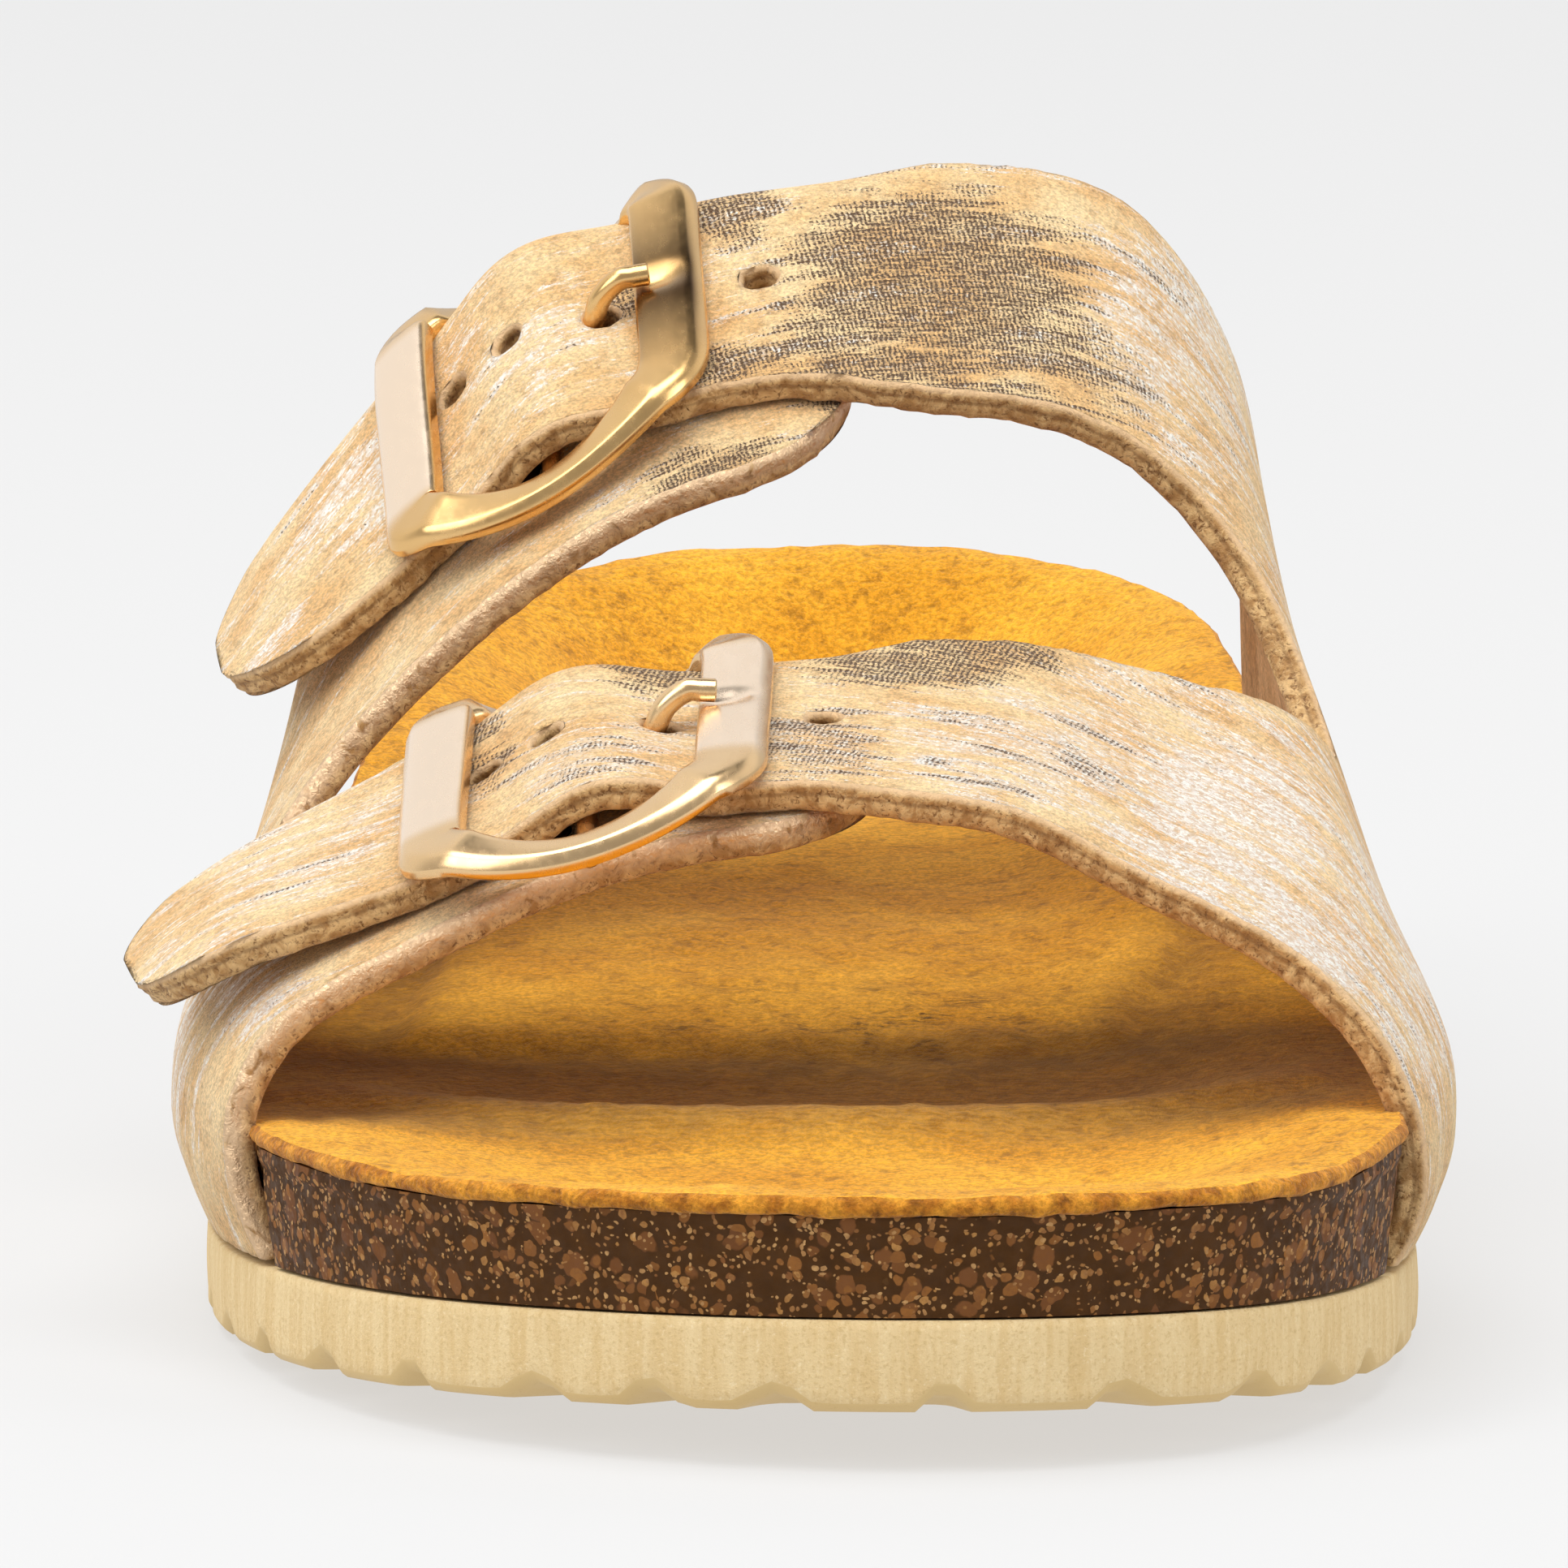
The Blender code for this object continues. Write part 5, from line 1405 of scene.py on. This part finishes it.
def makeTube(name, route, radius, around):
    # a round wire along a route, its ends slightly bevelled and closed
    route = np.asarray(route, float)
    ahead = np.gradient(route, axis=0)
    ahead /= np.linalg.norm(ahead, axis=1)[:, None]
    up = np.cross(ahead[0], (0.0, 1.0, 0.3))
    rings = []
    for point, way in zip(route, ahead):
        side = np.cross(up, way)
        side /= np.linalg.norm(side)
        up = np.cross(way, side)
        angle = np.linspace(0, 2 * math.pi, around + 1)[:, None]
        rings.append(point + (np.cos(angle) * side + np.sin(angle) * up) * radius)
    start = route[0] + (rings[0] - route[0]) * 0.86 - ahead[0] * 0.14 * radius
    stop = route[-1] + (rings[-1] - route[-1]) * 0.86 + ahead[-1] * 0.14 * radius
    rings = [start] + rings + [stop]
    piece = newGrid(name, around, len(rings) - 1)
    placePoints(piece, np.vstack(rings))
    weld(piece)
    bpy.ops.object.mode_set(mode="EDIT")
    bpy.ops.mesh.select_all(action="SELECT")
    bpy.ops.mesh.fill_holes(sides=0)
    bpy.ops.mesh.select_all(action="SELECT")
    bpy.ops.mesh.normals_make_consistent(inside=False)
    bpy.ops.object.mode_set(mode="OBJECT")
    return piece


# route: shares of the way out to the bar, and of the height at which the prong rests on it
prongLook = {"route": ((0.42, 0.48), (0.55, 0.86), (0.70, 1.05), (0.80, 1.03)),
             "sink": 0.45 * mm, "short": 0.25}


def makeProng(name, metal):
    rest = float(frameLift(barSpacing)) + frameThick + prongRadius - prongLook["sink"]
    start = pinRadius + sole["gap"] + prongRadius
    side = 0.5 * barSpacing
    points = [(start, sole["gap"] + pinRadius)]
    points += [(out * side, up * rest) for out, up in prongLook["route"]]
    points += [(side - prongLook["short"] * barWidth, rest)]
    curve = roundCurve(points, 9)
    route = bucklePoint(name, -curve[:, 0], 0 * curve[:, 0], curve[:, 1])
    piece = makeTube("prong" + name.capitalize(), route, prongRadius, 22)
    useMaterials(piece, [metal])
    return finishPiece(piece, ["prong_" + name], 40)


rivetLook = {"radius": 2.1 * mm, "flatness": 0.45, "place": -0.40}


def makeRivet(name):
    buckle = buckles[name]
    radius = rivetLook["radius"]
    p, q = pinRadius + sole["gap"] + radius, rivetLook["place"] * strapLook["width"]
    centre = bucklePoint(name, np.array([p]), np.array([q]), np.array([sole["gap"]]))[0]
    top = bucklePoint(name, np.array([p]), np.array([q]), np.array([1.0 * mm]))[0]
    up = Vector(top - centre).normalized()
    clearSelection()
    bpy.ops.mesh.primitive_uv_sphere_add(segments=28, ring_count=14, radius=radius)
    piece = bpy.context.object
    piece.name = piece.data.name = "rivet" + name.capitalize()
    pickOnly(piece)
    bpy.ops.object.mode_set(mode="EDIT")
    bpy.ops.mesh.select_all(action="SELECT")
    bpy.ops.mesh.bisect(plane_co=(0, 0, 0), plane_no=(0, 0, 1), clear_inner=True, use_fill=True)
    bpy.ops.mesh.select_all(action="SELECT")
    bpy.ops.transform.resize(value=(1, 1, rivetLook["flatness"]))
    bpy.ops.object.mode_set(mode="OBJECT")
    points = pointsOf(piece)
    turn = np.array(up.to_track_quat("Z", "Y").to_matrix())
    placePoints(piece, points @ turn.T + centre)
    useMaterials(piece, [rivetMetal])
    return finishPiece(piece, ["clip_" + name], 60)


for name, metal in (("front", goldFront), ("rear", goldRear)):
    makeBuckle(name, metal)
    makeProng(name, metal)
    makeRivet(name)
print("buckles ready")


# lights: name, place, size, power; sky: height of the direction, and how bright it is there
studio = {
    "floor": 0.215, "floorGlow": 0.575, "world": 0.95, "front": 0.42, "left": 0.95,
    "target": (0.0002, 0.0, 0.0358), "distance": 1.5, "elevation": 8.0,
    "lens": 36 * 22200 / 1932, "aim": (0, 0, 0.03),
    "lights": (("topBox", (-0.20, -0.44, 2.2), (2.4, 1.8), 52.0),
               ("leftBox", (-2.0, -1.5, 1.5), (1.4, 1.8), 26.0),
               ("rightBox", (2.1, -1.1, 1.2), (0.8, 1.8), 16.0)),
    "sky": ((0.0, 0.62), (0.42, 0.70), (0.52, 1.0), (0.73, 1.0), (0.79, 0.08), (0.90, 0.16),
            (0.98, 0.7)),
}


def makeFloor():
    clearSelection()
    bpy.ops.mesh.primitive_plane_add(size=60.0)
    floor = bpy.context.object
    floor.name = floor.data.name = "studioFloor"
    material, tree, shader = newMaterial("floorPaper", Roughness=0.9, Specular_IOR_Level=0.1)
    shader.inputs["Base Color"].default_value = (studio["floor"],) * 3 + (1,)
    # the lit paper's own evenness
    shader.inputs["Emission Color"].default_value = (1, 1, 1, 1)
    shader.inputs["Emission Strength"].default_value = studio["floorGlow"]
    useMaterials(floor, [material])


def addLight(name, place, size, power):
    data = bpy.data.lights.new(name, "AREA")
    data.shape, data.size, data.size_y = "RECTANGLE", size[0], size[1]
    data.energy = power
    light = bpy.data.objects.new(name, data)
    bpy.context.scene.collection.objects.link(light)
    light.location = place
    aim = Vector(studio["aim"]) - Vector(place)
    light.rotation_euler = aim.to_track_quat("-Z", "Y").to_euler()


def makeWorld():
    world = bpy.data.worlds.new("studioAir")
    bpy.context.scene.world = world
    world.use_nodes = True
    tree = world.node_tree
    sky = tree.nodes["Background"]
    way = newNode(tree, "ShaderNodeTexCoord").outputs["Generated"]
    height = newNode(tree, "ShaderNodeSeparateXYZ", {0: way}).outputs[2]
    back = spread(tree, newNode(tree, "ShaderNodeSeparateXYZ", {0: way}).outputs[1], -0.25, 0.25)
    tone = newNode(tree, "ShaderNodeValToRGB", {0: height}).outputs[0]
    ramp = tone.node.color_ramp
    # bright backdrop up to about 50 degrees, a darker gap, then the lit ceiling
    for place, level in studio["sky"]:
        stop = ramp.elements[0] if place == 0.0 else ramp.elements.new(place)
        stop.position, stop.color = place, (level, level, level, 1)
    ramp.elements.remove(ramp.elements[-1])
    # the darker gap is on the right side alone
    right = spread(tree, newNode(tree, "ShaderNodeSeparateXYZ", {0: way}).outputs[0], -0.34, -0.10)
    tone = mixColour(tree, right, (studio["left"],) * 3 + (1,), tone)
    tree.links.new(mixColour(tree, back, (studio["front"],) * 3 + (1,), tone), sky.inputs["Color"])
    sky.inputs["Strength"].default_value = studio["world"]


def makeCamera():
    data = bpy.data.cameras.new("photoCamera")
    camera = bpy.data.objects.new("photoCamera", data)
    bpy.context.scene.collection.objects.link(camera)
    rise = math.radians(studio["elevation"])
    back = Vector((0.0, -math.cos(rise), math.sin(rise)))
    camera.location = Vector(studio["target"]) + back * studio["distance"]
    camera.rotation_euler = back.to_track_quat("Z", "Y").to_euler()
    data.sensor_width, data.lens = 36.0, studio["lens"]
    data.clip_start, data.clip_end = 0.1, 100.0
    bpy.context.scene.camera = camera


makeFloor()
makeWorld()
for light in studio["lights"]:
    addLight(*light)
makeCamera()
bpy.context.scene.view_settings.view_transform = "Standard"
print("studio ready")
